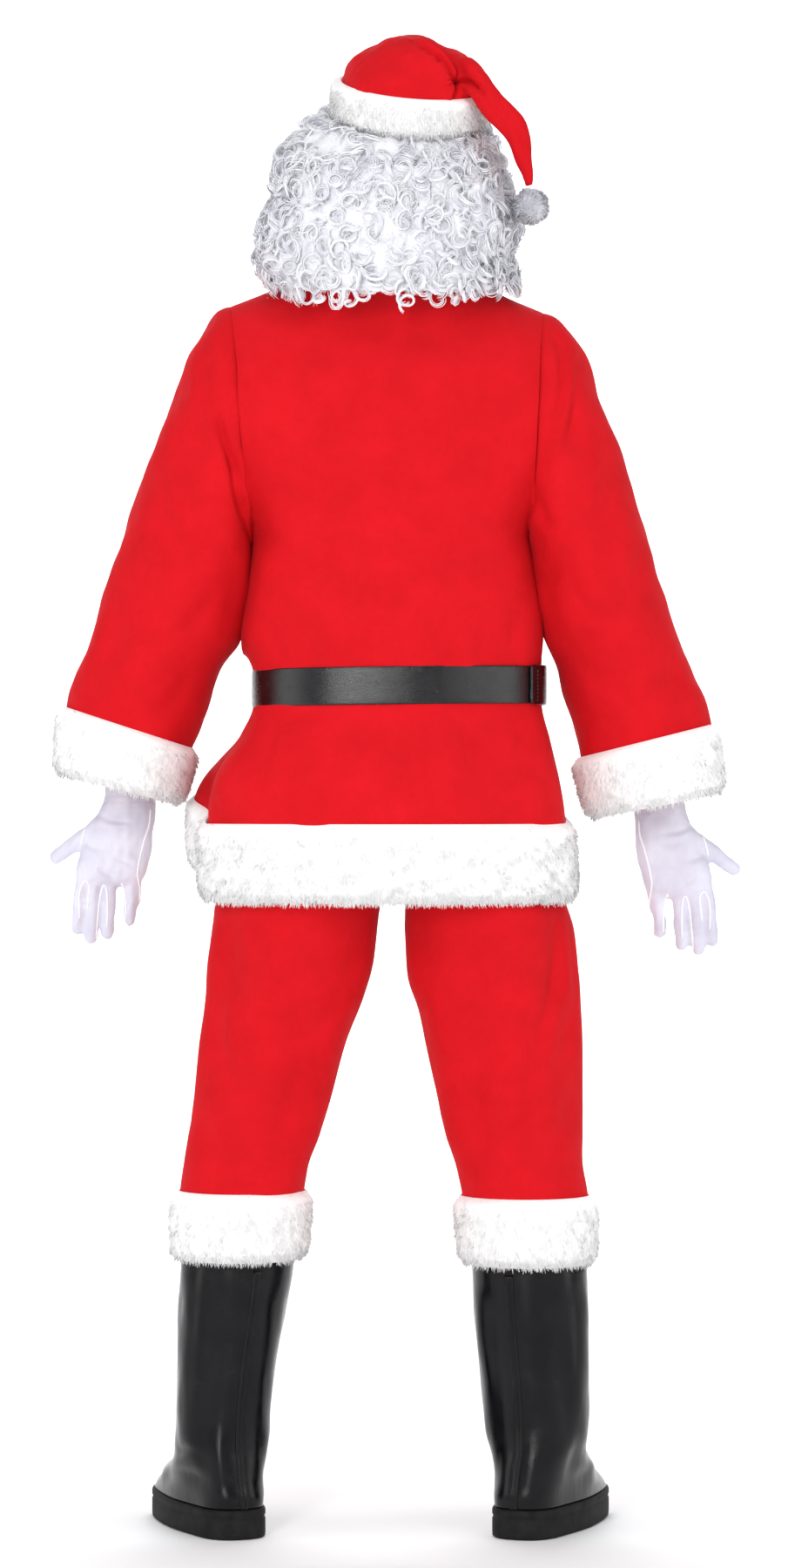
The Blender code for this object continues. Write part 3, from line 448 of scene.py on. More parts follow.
def creased(grid, outward, creases, facing):
    """Sinks a trough along each crease, with a ridge on one side of it, and fades both ends.

    facing is 1 for creases seen from behind and -1 for those of the front. A crease is a line
    of pixels, its half width in pixels, its depth in millimetres and the side its ridge is on.
    """
    spots = seen(grid)
    share = ease(0.35 + 1.6 * facing * outward[..., 1])
    shift = np.zeros(grid.shape[:2])
    for line, width, depth, ridge_side in creases:
        line = smooth_line(line, 16)
        low, high = line.min(0) - 5 * width, line.max(0) + 5 * width
        near = ((spots > low) & (spots < high)).all(-1)
        if not near.any():
            continue
        place, aside = beside(spots[near], line)
        fade = np.sin(np.pi * np.clip(place, 0.02, 0.98)) ** 0.7
        trough = np.exp(-((aside / width) ** 2))
        ridge = np.exp(-(((aside - ridge_side * 2.0 * width) / (1.5 * width)) ** 2))
        shift[near] += depth * fade * (0.6 * abs(ridge_side) * ridge - trough)
    return grid + outward * (shift * share)[..., None]


# Meshes


def bare_mesh(name, points, faces, finish):
    """An object in the scene from points in millimetres over the floor."""
    mesh = bpy.data.meshes.new(name)
    faces = faces if isinstance(faces, list) else faces.tolist()
    mesh.from_pydata(((points - ORIGIN) * MM).tolist(), [], faces)
    mesh.materials.append(MATERIALS[finish])
    thing = bpy.data.objects.new(name, mesh)
    bpy.context.scene.collection.objects.link(thing)
    return thing


def join_suit(thing, finish, node=None):
    """Makes an object a piece of the suit, in the place of a node if one is given."""
    thing.data.shade_smooth()
    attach(thing, "root")
    if node:
        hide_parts(node)
    return thing


def add_mesh(name, points, faces, finish, node=None):
    return join_suit(bare_mesh(name, points, faces, finish), finish, node)


def face_outward(thing):
    shell = bmesh.new()
    shell.from_mesh(thing.data)
    bmesh.ops.recalc_face_normals(shell, faces=shell.faces)
    shell.to_mesh(thing.data)
    shell.free()


def grid_faces(rows, columns, around, start=0, turned=False):
    """Four-sided faces of a grid of points that are stored row by row."""
    c, r = np.meshgrid(np.arange(columns if around else columns - 1), np.arange(rows - 1))
    r, c = r.ravel() * columns, c.ravel()
    after = (c + 1) % columns
    quads = np.stack([r + c, r + after, r + columns + after, r + columns + c], -1)
    return (quads[:, ::-1] if turned else quads) + start


def rim_faces(line, inside):
    """Faces that join a line of outer points to the inner points inside places later."""
    a, b = line[:-1], line[1:]
    return np.stack([a, b, b + inside, a + inside], -1)


def loft_faces(count, columns):
    """Faces of rings joined one to the next, with flat ends."""
    faces = grid_faces(count, columns, True).tolist()
    faces.append(list(range(columns))[::-1])
    faces.append([(count - 1) * columns + j for j in range(columns)])
    return faces


def add_wall(name, outer, inner, around, finish, node=None):
    """A closed wall between an outer and an inner grid of points."""
    rows, columns = outer.shape[:2]
    inside = rows * columns
    faces = [grid_faces(rows, columns, around), grid_faces(rows, columns, around, inside, True)]
    for first in (0, (rows - 1) * columns):
        line = first + np.arange(columns)
        faces.append(rim_faces(np.append(line, first) if around else line, inside))
    if not around:
        for first in (0, columns - 1):
            faces.append(rim_faces(first + columns * np.arange(rows), inside))
    points = np.concatenate([outer.reshape(-1, 3), inner.reshape(-1, 3)])
    thing = add_mesh(name, points, np.concatenate(faces), finish, node)
    face_outward(thing)
    return thing


def add_loft(name, rings, closed, finish, node):
    """Rings of points joined one to the next, with flat ends unless the path closes."""
    count, columns = rings.shape[:2]
    if closed:
        faces = grid_faces(count + 1, columns, True) % (count * columns)
    else:
        faces = loft_faces(count, columns)
    thing = add_mesh(name, rings.reshape(-1, 3), faces, finish, node)
    face_outward(thing)
    return thing


# The jacket


def hem_rise(angle):
    """How much higher the hem is than at the middle of the back, before any fade."""
    towards_left = (1 + cosine(angle)) / 2
    amount = HEM_RISE["right"] + (HEM_RISE["left"] - HEM_RISE["right"]) * towards_left
    return amount * ease(0.35 - sine(angle))


def skirt_fold(angle, height):
    folds = sum(
        depth * bump(turn_between(angle, middle), half) for middle, half, depth in SKIRT_FOLDS
    )
    return ease((998 - height) / 140) * folds


def body(height, angle):
    """The jacket's outer surface; angle in degrees from the left side backwards."""
    height, angle = np.broadcast_arrays(np.asarray(height, float), np.asarray(angle, float))
    size = TORSO.at(height)
    c, s = cosine(angle), sine(angle)
    x = np.where(c > 0, size["left"], size["right"]) * power(c, 2 / SQUARENESS)
    y = np.where(s > 0, size["back"], size["front"]) * power(s, 2 / SQUARENESS)
    fold = skirt_fold(angle, height)
    lift = hem_rise(angle) * ease((1000 - height) / 200)
    return np.stack([x + fold * c, y + fold * s, height + lift], -1)


NECK_SPREAD = cosine(67.5) ** (2 / SQUARENESS)


def upper_body(rise, angle, part):
    """The body above the underarms; angle runs 0 to 180 from left to right."""
    rise, angle = np.broadcast_arrays(np.asarray(rise, float), np.asarray(angle, float))
    c, s = cosine(angle), np.maximum(sine(angle), 0)
    left = c > 0
    tip_x = np.where(left, SHOULDER_TIP["left"][0], SHOULDER_TIP["right"][0])
    tip_height = np.where(left, SHOULDER_TIP["left"][1], SHOULDER_TIP["right"][1])
    under = TORSO.at(UNDERARM_HEIGHT)
    under_x = np.where(left, under["left"], under["right"])
    spread = np.abs(c) ** (2 / SQUARENESS)
    arm_x = under_x + (tip_x - under_x) * rise
    arm_y = ARMHOLE_DEPTH * np.sqrt(np.maximum(0.0, 1 - (2 * rise - 1) ** 2))
    on_shoulder = spread >= NECK_SPREAD
    share = (1 - spread) / (1 - NECK_SPREAD)
    curve = np.sqrt(np.maximum(0.0, 1 - (spread / NECK_SPREAD) ** 2))
    high = np.where(on_shoulder, 0.0, curve)
    top = np.where(
        on_shoulder,
        tip_height + (NECK_POINT_HEIGHT - tip_height) * share,
        NECK_POINT_HEIGHT - (NECK_POINT_HEIGHT - NECK_HEIGHT[part]) * high,
    )
    height = UNDERARM_HEIGHT + (top - UNDERARM_HEIGHT) * rise
    middle = UPPER_BODY.at(rise)[part]
    low = s ** (2 / SQUARENESS)
    deep = low + (high - low) * rise**3
    reach = 1 + 3 * np.exp(-rise / 0.15) + 12 * np.exp(-rise / 0.03)
    y = middle * deep + arm_y * (1 - deep) ** reach
    return np.stack([np.sign(c) * arm_x * spread, y if part == "back" else -y, height], -1)


PANEL_STEP = 7.0
BACK_CREASES = (
    # line of pixels, half width, depth, side of its ridge
    (((266, 362), (272, 420), (283, 470), (288, 520)), 6, 3.0, 1),
    (((624, 372), (628, 420), (631, 480), (624, 530)), 6, 3.0, -1),
    (((300, 470), (330, 520), (352, 580)), 14, 2.6, 1),
    (((600, 480), (570, 540), (556, 600)), 14, 2.4, -1),
    (((298, 600), (330, 640), (372, 668)), 12, 3.0, 1),
    (((606, 610), (570, 655), (520, 676)), 12, 2.8, -1),
    (((300, 700), (316, 735), (322, 768)), 8, 3.2, 1),
    (((352, 716), (360, 745), (361, 770)), 7, 2.6, -1),
    (((420, 722), (424, 748), (420, 770)), 7, 2.2, 1),
    (((500, 716), (496, 742), (500, 770)), 8, 2.4, -1),
    (((560, 712), (553, 745), (556, 768)), 8, 3.0, 1),
    (((598, 690), (590, 730), (592, 766)), 7, 3.0, -1),
    (((310, 818), (306, 860), (300, 930)), 9, 3.0, -1),
    (((374, 818), (376, 850), (370, 905)), 10, 3.2, 1),
    (((452, 818), (456, 856), (450, 920)), 11, 2.6, -1),
    (((528, 818), (534, 852), (540, 915)), 10, 3.2, 1),
    (((590, 816), (600, 860), (606, 925)), 9, 3.0, -1),
    (((234, 900), (245, 920), (250, 945)), 5, 3.0, 1),
)
FRONT_CREASES = (
    (((268, 400), (290, 450), (322, 500)), 12, 3.0, 1),
    (((622, 400), (602, 455), (566, 500)), 12, 3.0, -1),
    (((300, 610), (340, 640), (384, 652)), 12, 3.0, -1),
    (((604, 606), (560, 645), (520, 655)), 12, 3.0, 1),
    (((330, 712), (336, 745), (332, 770)), 7, 3.0, 1),
    (((398, 706), (402, 742), (398, 770)), 8, 2.6, -1),
    (((512, 706), (505, 742), (509, 770)), 8, 2.8, 1),
    (((570, 700), (566, 740), (570, 768)), 7, 3.0, -1),
    (((340, 818), (330, 860), (320, 920)), 10, 3.2, 1),
    (((410, 818), (404, 865), (398, 925)), 9, 2.8, -1),
    (((500, 818), (508, 868), (516, 925)), 10, 3.2, 1),
    (((566, 818), (578, 865), (584, 925)), 9, 3.0, -1),
)


def panel_surface(part, facing, angles):
    """A panel's rows from the shoulder and neck down to the hem, as its outer grid."""
    rises = (1 - np.cos(np.pi * np.linspace(1, 0.01, 52))) / 2
    heights = np.append(np.arange(UNDERARM_HEIGHT, HEM_HEIGHT, -PANEL_STEP), HEM_HEIGHT)
    upper = upper_body(rises[:, None], angles[None], part)
    lower = body(heights[:, None], facing * angles[None])
    grid = np.concatenate([upper, lower])
    inside = 1 - near_edge(len(angles), 3)[None, :, None]
    for _ in range(10):
        softer = (grid[:-2] + 2 * grid[1:-1] + grid[2:]) / 4
        grid[1:-1] += (softer - grid[1:-1]) * inside
    return grid


def hold_apart(surface, facing, side):
    """Keeps a panel on its own side of the side seams and of the suit's middle."""
    for axis, sign in ((1, facing), (0, side)):
        if sign:
            surface[..., axis] = sign * np.maximum(sign * surface[..., axis], 0)


def near_edge(count, reach):
    """1 at the first and last of count columns, falling to 0 a few columns in."""
    column = np.arange(count)
    from_edge = np.minimum(column, count - 1 - column)
    return np.exp(-((from_edge / reach) ** 2))


def jacket_panel(node, angles, creases):
    """The back or a front: its wall dips at the seams, hangs unevenly and is held by the belt."""
    part = "back" if node == "jacket_back" else "front"
    facing = 1 if part == "back" else -1
    grid = panel_surface(part, facing, angles)
    outward = normals(grid, False)
    seam = near_edge(grid.shape[1], 1.2)[None] * 1.4
    drape = 1.6 * unevenness(grid, 150, 5) + 0.5 * unevenness(grid, 46, 6)
    calm = 1 - bump(grid[..., 2] - BELT_MIDDLE, 50)
    away_from_edges = 1 - near_edge(grid.shape[1], 5)[None]
    grid = grid + outward * (drape * calm * away_from_edges - seam)[..., None]
    grid = creased(grid, outward, creases, facing)
    inner = grid - outward * CLOTH
    for surface in (grid, inner):
        hold_apart(surface, facing, SIDES.get(node.split("_")[-1], 0))
    thing = add_wall(f"{node}_cloth", grid, inner, False, "plush", node)


def jacket_body():
    half = np.linspace(0, 90, 49)
    jacket_panel("jacket_back", np.linspace(0, 180, 95), BACK_CREASES)
    jacket_panel("jacket_front_left", half, FRONT_CREASES)
    jacket_panel("jacket_front_right", 180 - half, FRONT_CREASES)


def rings_between(table, along, angle):
    """Rings between an outside and an inside line: x, y, height and the table's columns."""
    size = {name: value[:, None] for name, value in table.at(along).items()}

    def across(of):
        outer, inner = size[f"outer_{of}"], size[f"inner_{of}"]
        return (outer + inner) / 2 - (outer - inner) / 2 * cosine(angle)[None]

    y = size["middle"] + size["depth"] * sine(angle)[None]
    return across("x"), y, across("height"), size


def sleeve_rings(side, along, columns, out=0.0):
    """Rings of a sleeve, from its inside line backwards, for an array of places along it."""
    angle = round_angles(columns)
    x, y, height, _ = rings_between(SLEEVE[side], along, angle)
    folds = sum(
        depth * bump(along - place, half)[:, None] * bump(turn_between(angle, middle), width)[None]
        for place, half, middle, width, depth in SLEEVE_FOLDS
    )
    return moved(np.stack([x, y, height], -1), folds + out) * MIRROR[side]


SLEEVE_COLUMNS = 84
SLEEVE_CREASES = {
    "left": (
        (((250, 462), (256, 500), (270, 538), (288, 572)), 5, 8.5, 1),
        (((264, 512), (268, 548), (278, 584), (290, 622)), 5, 9.0, -1),
        (((279, 440), (281, 470), (286, 500)), 4, 5.0, 1),
        (((240, 385), (236, 430), (244, 476)), 8, 3.5, 1),
        (((205, 480), (214, 540), (236, 590)), 10, 3.2, -1),
        (((176, 560), (194, 610), (224, 650)), 10, 3.6, 1),
        (((150, 640), (176, 690), (214, 716)), 11, 3.6, -1),
        (((262, 640), (240, 690), (206, 730)), 9, 3.2, 1),
        (((120, 730), (150, 770), (196, 790)), 10, 3.2, 1),
        (((228, 760), (204, 800), (170, 830)), 9, 2.6, -1),
    ),
    "right": (
        (((636, 378), (646, 412), (646, 452), (634, 488)), 5, 8.0, -1),
        (((661, 408), (660, 450), (656, 488), (648, 514)), 5, 6.0, 1),
        (((612, 560), (622, 590), (640, 612)), 6, 5.0, 1),
        (((690, 482), (698, 560), (692, 668)), 12, 3.0, -1),
        (((650, 540), (670, 590), (700, 640)), 9, 3.2, 1),
        (((640, 640), (664, 690), (700, 716)), 10, 3.4, -1),
        (((742, 600), (730, 660), (706, 700)), 10, 3.2, 1),
        (((664, 750), (696, 790), (730, 800)), 9, 3.0, -1),
        (((786, 740), (764, 790), (726, 824)), 10, 3.2, 1),
    ),
}


def tucked_in(surface, side):
    """Adds the seam allowance: a sleeve's first ring again, smaller, inside the armhole."""
    middle = surface[0].mean(0)
    ring = middle + (surface[0] - middle) * 0.965
    ring[:, 0] -= 9.0 * SIDES[side]
    return np.concatenate([ring[None], surface])


def sleeve(side):
    """A sleeve that sinks in at the armhole's seam and hangs against the body below it."""
    along = np.concatenate([np.linspace(0, 0.06, 9)[:-1], np.linspace(0.06, 1, 74)])
    grid = sleeve_rings(side, along, SLEEVE_COLUMNS)
    outward = normals(grid, True)
    seam = np.exp(-((along / 0.008) ** 2))[:, None] * 1.2
    drape = 2.0 * unevenness(grid, 120, 8) + 0.7 * unevenness(grid, 44, 9)
    against = ease((cosine(round_angles(SLEEVE_COLUMNS)) - 0.2) / 0.6)
    hang = 6.5 * bump(grid[..., 2] - 1165, 110) * against[None]
    grid = grid + outward * (hang + drape * ease(along / 0.08)[:, None] - seam)[..., None]
    for facing in (1, -1):
        grid = creased(grid, outward, SLEEVE_CREASES[side], facing)
    inner = grid - outward * CLOTH
    grid, inner = (tucked_in(surface, side) for surface in (grid, inner))
    name = f"jacket_sleeve_{side}"
    thing = add_wall(f"{name}_cloth", grid, inner, True, "plush", name)


# Fur


def add_pile(name, grid, outward, blades, length, width, comb, seed, finish):
    """Thin blades that lie over a grid of points, leaning together in uneven tufts.

    comb is the way the pile lies. The blades are shaded as the surface that they stand on is.
    """
    dice = np.random.default_rng(seed)
    a, b, c = grid[:-1, :-1], grid[1:, :-1], grid[:-1, 1:]
    area = np.linalg.norm(np.cross(b - a, c - a), axis=-1).ravel()
    cell = dice.choice(len(area), size=blades, p=area / area.sum())
    row, column = np.divmod(cell, grid.shape[1] - 1)
    u, v = dice.random((2, blades, 1))

    def between(values):
        top = values[row, column] * (1 - v) + values[row, column + 1] * v
        low = values[row + 1, column] * (1 - v) + values[row + 1, column + 1] * v
        return top * (1 - u) + low * u

    root = between(grid)
    normal = unit(between(outward))
    tuft = np.stack([unevenness(root, 21, seed + k) for k in range(3)], -1)
    lean = 0.4 * normal + np.asarray(comb, float) + 0.2 * tuft
    lean = unit(lean + dice.normal(0, 0.17, (blades, 3)))
    reach = length * dice.uniform(0.6, 1.1, (blades, 1))
    across = unit(np.cross(lean, normal) + dice.normal(0, 0.35, (blades, 3)))
    across = across * np.sign((np.cross(across, lean) * normal).sum(-1, keepdims=True)) * width / 2
    root = root - normal * 0.8
    tip = root + lean * reach
    points = np.stack([root - across, root + across, tip + across * 0.3, tip - across * 0.3], 1)
    quads = 4 * np.arange(blades)[:, None] + np.arange(4)
    thing = add_mesh(name, points.reshape(-1, 3), quads, finish)
    shade = unit(normal + dice.normal(0, 0.08, (blades, 3)) + 0.08 * tuft)
    thing.data.normals_split_custom_set_from_vertices(np.repeat(shade, 4, axis=0).tolist())
    return thing


STRIP_POINTS = 9


def strip_profile(width, pile):
    """Places across a fur strip from edge to edge, and how far its backing stands out."""
    place = np.linspace(0, 1, STRIP_POINTS)
    crown = (1 - np.abs(2 * place - 1) ** 5) ** 0.5
    return place * width, SEAM + 1 + (pile - 1) * crown


BACKING_SHARE = 0.85
BLADE_WIDTH = 1.3


def fur_strip(name, surface, width, blades, seed, closed):
    """A strip of fur cloth: a backing on surface(place across, way out) and its pile.

    surface gives the garment's points at places across the strip, moved out.
    """
    across, out = strip_profile(width, FUR_PILE * BACKING_SHARE)
    under = surface(across[[-1, 0]], np.array([2 * SEAM, 2 * SEAM]))
    section = np.concatenate([surface(across, out), under])
    along = section.transpose(1, 0, 2)
    backing = add_loft(f"{name}_backing", along, closed, "fur", name)
    grid = section[: len(across)]
    if closed:
        grid = np.concatenate([grid, grid[:, :1]], 1)
    outward = normals(grid, False, grid.mean((0, 1))[:2])
    shape = (blades, FUR_PILE * 0.55, BLADE_WIDTH, (0, 0, -0.9), seed)
    pile = add_pile(f"{name}_pile", grid, outward, *shape, "fur")


HEM_COLUMNS = 320
HEM_PIECES = (
    # name, first and last quarter of the ring, facing, side, blades, seed, cut length
    ("back", 0, 2, 1, 0, 29000, 21, 0.70),
    ("front_right", 2, 3, -1, -1, 10000, 22, 0.36),
    ("front_left", 3, 4, -1, 1, 10000, 23, 0.36),
)


def hem_fur():
    """The strips on the hem; they meet at the side seams and in the front's middle."""
    angles = round_angles(HEM_COLUMNS)
    for name, first, last, facing, side, blades, seed, cut in HEM_PIECES:
        quarter = HEM_COLUMNS // 4
        chosen = np.arange(first * quarter, last * quarter + 1) % HEM_COLUMNS

        def surface(across, out):
            rings = moved(body((HEM_FUR_TOP - across)[:, None], angles[None]), out[:, None])
            rings = rings[:, chosen]
            hold_apart(rings, facing, side)
            return rings

        width = HEM_FUR_TOP - HEM_HEIGHT + 2
        fur_strip(f"hem_fur_{name}", surface, width, blades, seed, False)


def sleeve_fur(side):
    """A cuff that runs on past the sleeve's end in the way its last stretch points."""
    start, columns = SLEEVE_FUR_FROM, 120
    step = sleeve_rings(side, np.array([0.95, 1.0]), columns)
    length = np.linalg.norm(step[1] - step[0], axis=-1).mean() / 0.05

    def surface(across, out):
        along = start + across / length
        rings = sleeve_rings(side, np.minimum(along, 1.0), columns, out[:, None])
        past = np.maximum(along - 1.0, 0) / 0.05
        return rings + (step[1] - step[0]) * past[:, None, None]

    width = (1.0 - start) * length + 6
    name, under = f"sleeve_fur_{side}", f"jacket_sleeve_{side}_cloth"
    seed = {"left": 31, "right": 32}[side]
    fur_strip(name, surface, width, 10500, seed, True)


# Trousers


def leg_fold(angle, height):
    return sum(
        depth * bump(height - middle, half) * bump(turn_between(angle, place), width)
        for middle, half, place, width, depth in LEG_FOLDS
    )


def leg_half(side, heights, columns, sign):
    """Half of each ring of a leg, from the outside to the inseam or the middle of the seat."""
    size = {name: value[:, None] for name, value in LEG[side].at(heights).items()}
    inner = np.maximum(size["middle"] - size["width"], SEAM / 2)
    end = np.degrees(np.arccos(np.clip((inner - size["middle"]) / size["width"], -1, 1)))
    angle = end * np.linspace(0, 1, columns)[None]
    fold = leg_fold(sign * angle, heights[:, None])
    depth = size["back" if sign > 0 else "front"]
    x = size["middle"] + (size["width"] + fold) * cosine(angle)
    y = sign * (depth + fold) * sine(angle)
    return np.stack([x, y, np.broadcast_to(heights[:, None], x.shape)], -1)


def leg_rings(side, heights, columns, out):
    """Whole rings of a leg below the crotch, moved out or in."""
    heights = np.asarray(heights, float)
    back, front = (leg_half(side, heights, columns, sign) for sign in (1, -1))
    rings = moved(np.concatenate([back, front[:, -2:0:-1]], 1), np.reshape(out, (-1, 1)))
    return rings * MIRROR[side]


LEG_CREASES = {
    ("left", 1): (
        (((262, 1046), (270, 1120), (282, 1190), (288, 1240)), 10, 3.2, 1),
        (((420, 1046), (404, 1110), (384, 1170)), 10, 3.0, -1),
        (((240, 1150), (262, 1220), (296, 1290)), 13, 3.2, -1),
        (((352, 1200), (332, 1260), (300, 1330)), 13, 3.4, 1),
        (((222, 1270), (244, 1320), (276, 1352)), 10, 3.0, 1),
        (((340, 1320), (312, 1346), (270, 1358)), 9, 2.6, -1),
    ),
    ("right", 1): (
        (((641, 1033), (640, 1085), (634, 1140), (618, 1200), (601, 1272)), 6, 6.5, -1),
        (((650, 1033), (656, 1090), (664, 1163)), 6, 4.5, 1),
        (((470, 1050), (492, 1110), (520, 1176)), 11, 2.6, 1),
        (((560, 1180), (548, 1250), (560, 1330)), 14, 2.8, -1),
        (((662, 1230), (650, 1290), (620, 1340)), 11, 3.4, 1),
        (((520, 1300), (556, 1340), (600, 1356)), 9, 2.6, -1),
    ),
    ("left", -1): (
        (((270, 1046), (280, 1130), (290, 1200)), 10, 3.2, -1),
        (((400, 1060), (380, 1130), (352, 1190)), 11, 3.0, 1),
        (((240, 1240), (270, 1300), (310, 1340)), 12, 3.2, 1),
    ),
    ("right", -1): (
        (((630, 1046), (626, 1130), (612, 1200)), 9, 3.6, 1),
        (((480, 1060), (500, 1130), (536, 1190)), 11, 3.0, -1),
        (((650, 1240), (620, 1300), (580, 1340)), 12, 3.2, -1),
    ),
}


def leg_panels(side):
    """The back and front of a leg; they hang straight under the jacket and in the fur."""
    heights = np.linspace(LEG_TOP, LEG_HEM[side], 92)
    for part, sign in (("back", 1), ("front", -1)):
        grid = leg_half(side, heights, 42, sign)
        outward = normals(grid, False)
        seam = near_edge(grid.shape[1], 1.0)[None] * 1.2
        hidden = ease((HEM_HEIGHT + 60 - heights) / 60)[:, None]
        drape = 2.0 * unevenness(grid, 130, 14 + sign) + 0.7 * unevenness(grid, 45, 17 + sign)
        held = ease((heights - LEG_HEM[side] - 50) / 60)[:, None]
        drape = drape * hidden * held * (1 - near_edge(grid.shape[1], 4)[None])
        grid = (grid + outward * (drape - seam)[..., None]) * MIRROR[side]
        outward = outward * MIRROR[side]
        grid = creased(grid, outward, LEG_CREASES[(side, sign)], sign)
        inner = grid - outward * CLOTH
        for surface in (grid, inner):
            hold_apart(surface, sign, SIDES[side])
        name = f"trousers_{part}_{side}"
        thing = add_wall(f"{name}_cloth", grid, inner, False, "plush", name)


def trouser_fur(side):
    top = LEG_HEM[side] + LEG_FUR_HEIGHT - 3

    def surface(across, out):
        return leg_rings(side, top - across, 70, out)

    name, under = f"trouser_fur_{side}", f"trousers_back_{side}_cloth"
    seed = {"left": 41, "right": 42}[side]
    fur_strip(name, surface, LEG_FUR_HEIGHT, 11500, seed, True)


RIBS = 150


def waistband():
    """Gathered elastic: the ribs run up and down the band."""
    low, top = WAISTBAND
    columns = RIBS * 4
    ring = body(np.full(columns, BELT_MIDDLE), round_angles(columns))
    rib = 0.55 * np.cos(2 * np.pi * np.arange(columns) / 4)
    heights = np.linspace(top, low, 6)
    rounded = 1 - np.abs(np.linspace(-1, 1, 6)) ** 6
    outer, inner = [], []
    for height, full in zip(heights, rounded):
        for rings, inward in ((outer, 0.6 + 0.5 * (1 - full)), (inner, 2.4)):
            line = moved(ring, -(CLOTH + SEAM + inward) + rib * full)
            line[:, 2] = height
            rings.append(line)
    walls = (np.array(outer), np.array(inner))
    name = "trousers_waistband"
    thing = add_wall(f"{name}_ribs", *walls, True, "elastic", name)


# Hat


def hat_rings(along, columns, out=0.0):
    """Rings of the hat's crown, tilted back; their first points are on the wearer's right."""
    x, y, height, size = rings_between(HAT, along, round_angles(columns))
    height = height - size["tilt"] * (y - size["middle"])
    return moved(np.stack([x, y, height], -1), np.reshape(out, (-1, 1)))


def tail_rings(places, columns):
    """Rings across the hat's hanging tail."""
    size = TAIL.at(places)
    spine = np.stack([size["x"], size["y"], size["height"]], -1)
    along = unit(np.gradient(spine, axis=0))
    side = unit(np.cross(along, (0, 1, 0)))
    back = np.cross(side, along)
    angle = round_angles(columns)[:, None]
    turn = side[:, None] * cosine(angle) + back[:, None] * sine(angle)
    return spine[:, None] + turn * size["radius"][:, None, None]


HAT_PLEATS = (
    # line of pixels, height of its step in millimetres; the cloth on its lower left lies on top
    (((474, 50), (487, 58), (502, 70), (515, 86), (522, 101), (519, 114)), 10.0),
    (((520, 96), (534, 98), (550, 106)), 9.0),
)
HAT_CREASES = (
    (((498, 58), (520, 72), (536, 92)), 6, 4.0, -1),
    (((398, 84), (428, 72), (462, 76)), 14, 3.5, 1),
    (((404, 100), (446, 104), (490, 104)), 9, 2.5, -1),
    (((540, 84), (564, 118), (586, 158)), 5, 3.5, 1),
    (((566, 104), (590, 140), (602, 186)), 5, 3.5, -1),
    (((430, 50), (446, 66), (452, 90)), 10, 2.5, -1),
)
HAT_FOLD_EDGE = ((478, 53), (492, 61), (506, 73), (516, 87), (522, 100), (519, 109), (510, 114))
HAT_FOLD_ROOT = ((452, 50), (456, 60), (462, 72), (470, 86), (480, 98), (486, 106), (490, 112))
# How fine the crown's skin is, and how far round the tail's middle it stays closed.
CROWN_VOXEL = 3.1
TAIL_CLEAR = 24.0
# The fold's free edge stands out by its lift and the edge's roll; its root is sunk in the crown.
FOLD_LIFT, FOLD_ROLL, FOLD_SUNK, FOLD_ROOT_SUNK = 12.5, 1.2, 0.9, 2.1


def apply_modifiers(thing):
    old, graph = thing.data, bpy.context.evaluated_depsgraph_get()
    thing.data = bpy.data.meshes.new_from_object(thing.evaluated_get(graph))
    thing.modifiers.clear()
    bpy.data.meshes.remove(old)


def fuse(things, voxel, smoothing):
    """Joins overlapping closed forms into one skin, softened where they meet."""
    whole = things[0]
    for other in things[1:]:
        cut = whole.modifiers.new("join", "BOOLEAN")
        cut.operation, cut.object, cut.solver = "UNION", other, "EXACT"
        apply_modifiers(whole)
        bpy.data.objects.remove(other)
    remesh = whole.modifiers.new("skin", "REMESH")
    remesh.mode, remesh.voxel_size = "VOXEL", voxel * MM
    smooth = whole.modifiers.new("soften", "SMOOTH")
    smooth.iterations, smooth.factor = smoothing, 0.5
    apply_modifiers(whole)
    return whole


def of_vertices(mesh, what):
    values = np.empty(len(mesh.vertices) * 3, np.float32)
    mesh.vertices.foreach_get(what, values)
    return values.reshape(-1, 3).astype(float)


def points_of(mesh):
    return of_vertices(mesh, "co") / MM + ORIGIN


def set_points(mesh, points):
    points = (points - ORIGIN) * MM
    mesh.vertices.foreach_set("co", points.astype(np.float32).ravel())
    mesh.update()


def skin_tree(mesh):
    """What rays from behind meet on a mesh."""
    faces = [tuple(face.vertices) for face in mesh.polygons]
    return BVHTree.FromPolygons(points_of(mesh).tolist(), faces)


def open_mouth(thing, is_mouth):
    """Deletes the faces whose middles is_mouth picks out, so that a skin is open there."""
    shell = bmesh.new()
    shell.from_mesh(thing.data)
    middles = np.array([face.calc_center_median() for face in shell.faces]) / MM
    chosen = is_mouth(middles + ORIGIN)
    doomed = [face for face, gone in zip(shell.faces, chosen) if gone]
    bmesh.ops.delete(shell, geom=doomed, context="FACES")
    shell.to_mesh(thing.data)
    shell.free()


def finish_skin(thing, is_mouth, thickness, finish, node):
    """Opens a skin, gives it its thickness, inwards, and makes it a piece of the suit."""
    open_mouth(thing, is_mouth)
    solid = thing.modifiers.new("thickness", "SOLIDIFY")
    solid.thickness, solid.offset = thickness * MM, -1
    apply_modifiers(thing)
    join_suit(thing, finish, node)


def loose_loft(name, rings, finish):
    """A closed form to be fused into a piece."""
    thing = bare_mesh(name, rings.reshape(-1, 3), loft_faces(*rings.shape[:2]), finish)
    face_outward(thing)
    return thing


def rounded_end(places, radius_at, length):
    """Shrinks a limb's rings to a round tip over its last radius."""
    past = np.maximum(1 - (1 - places) * length / radius_at, 0)
    return np.sqrt(np.maximum(0.02, 1 - past**2))


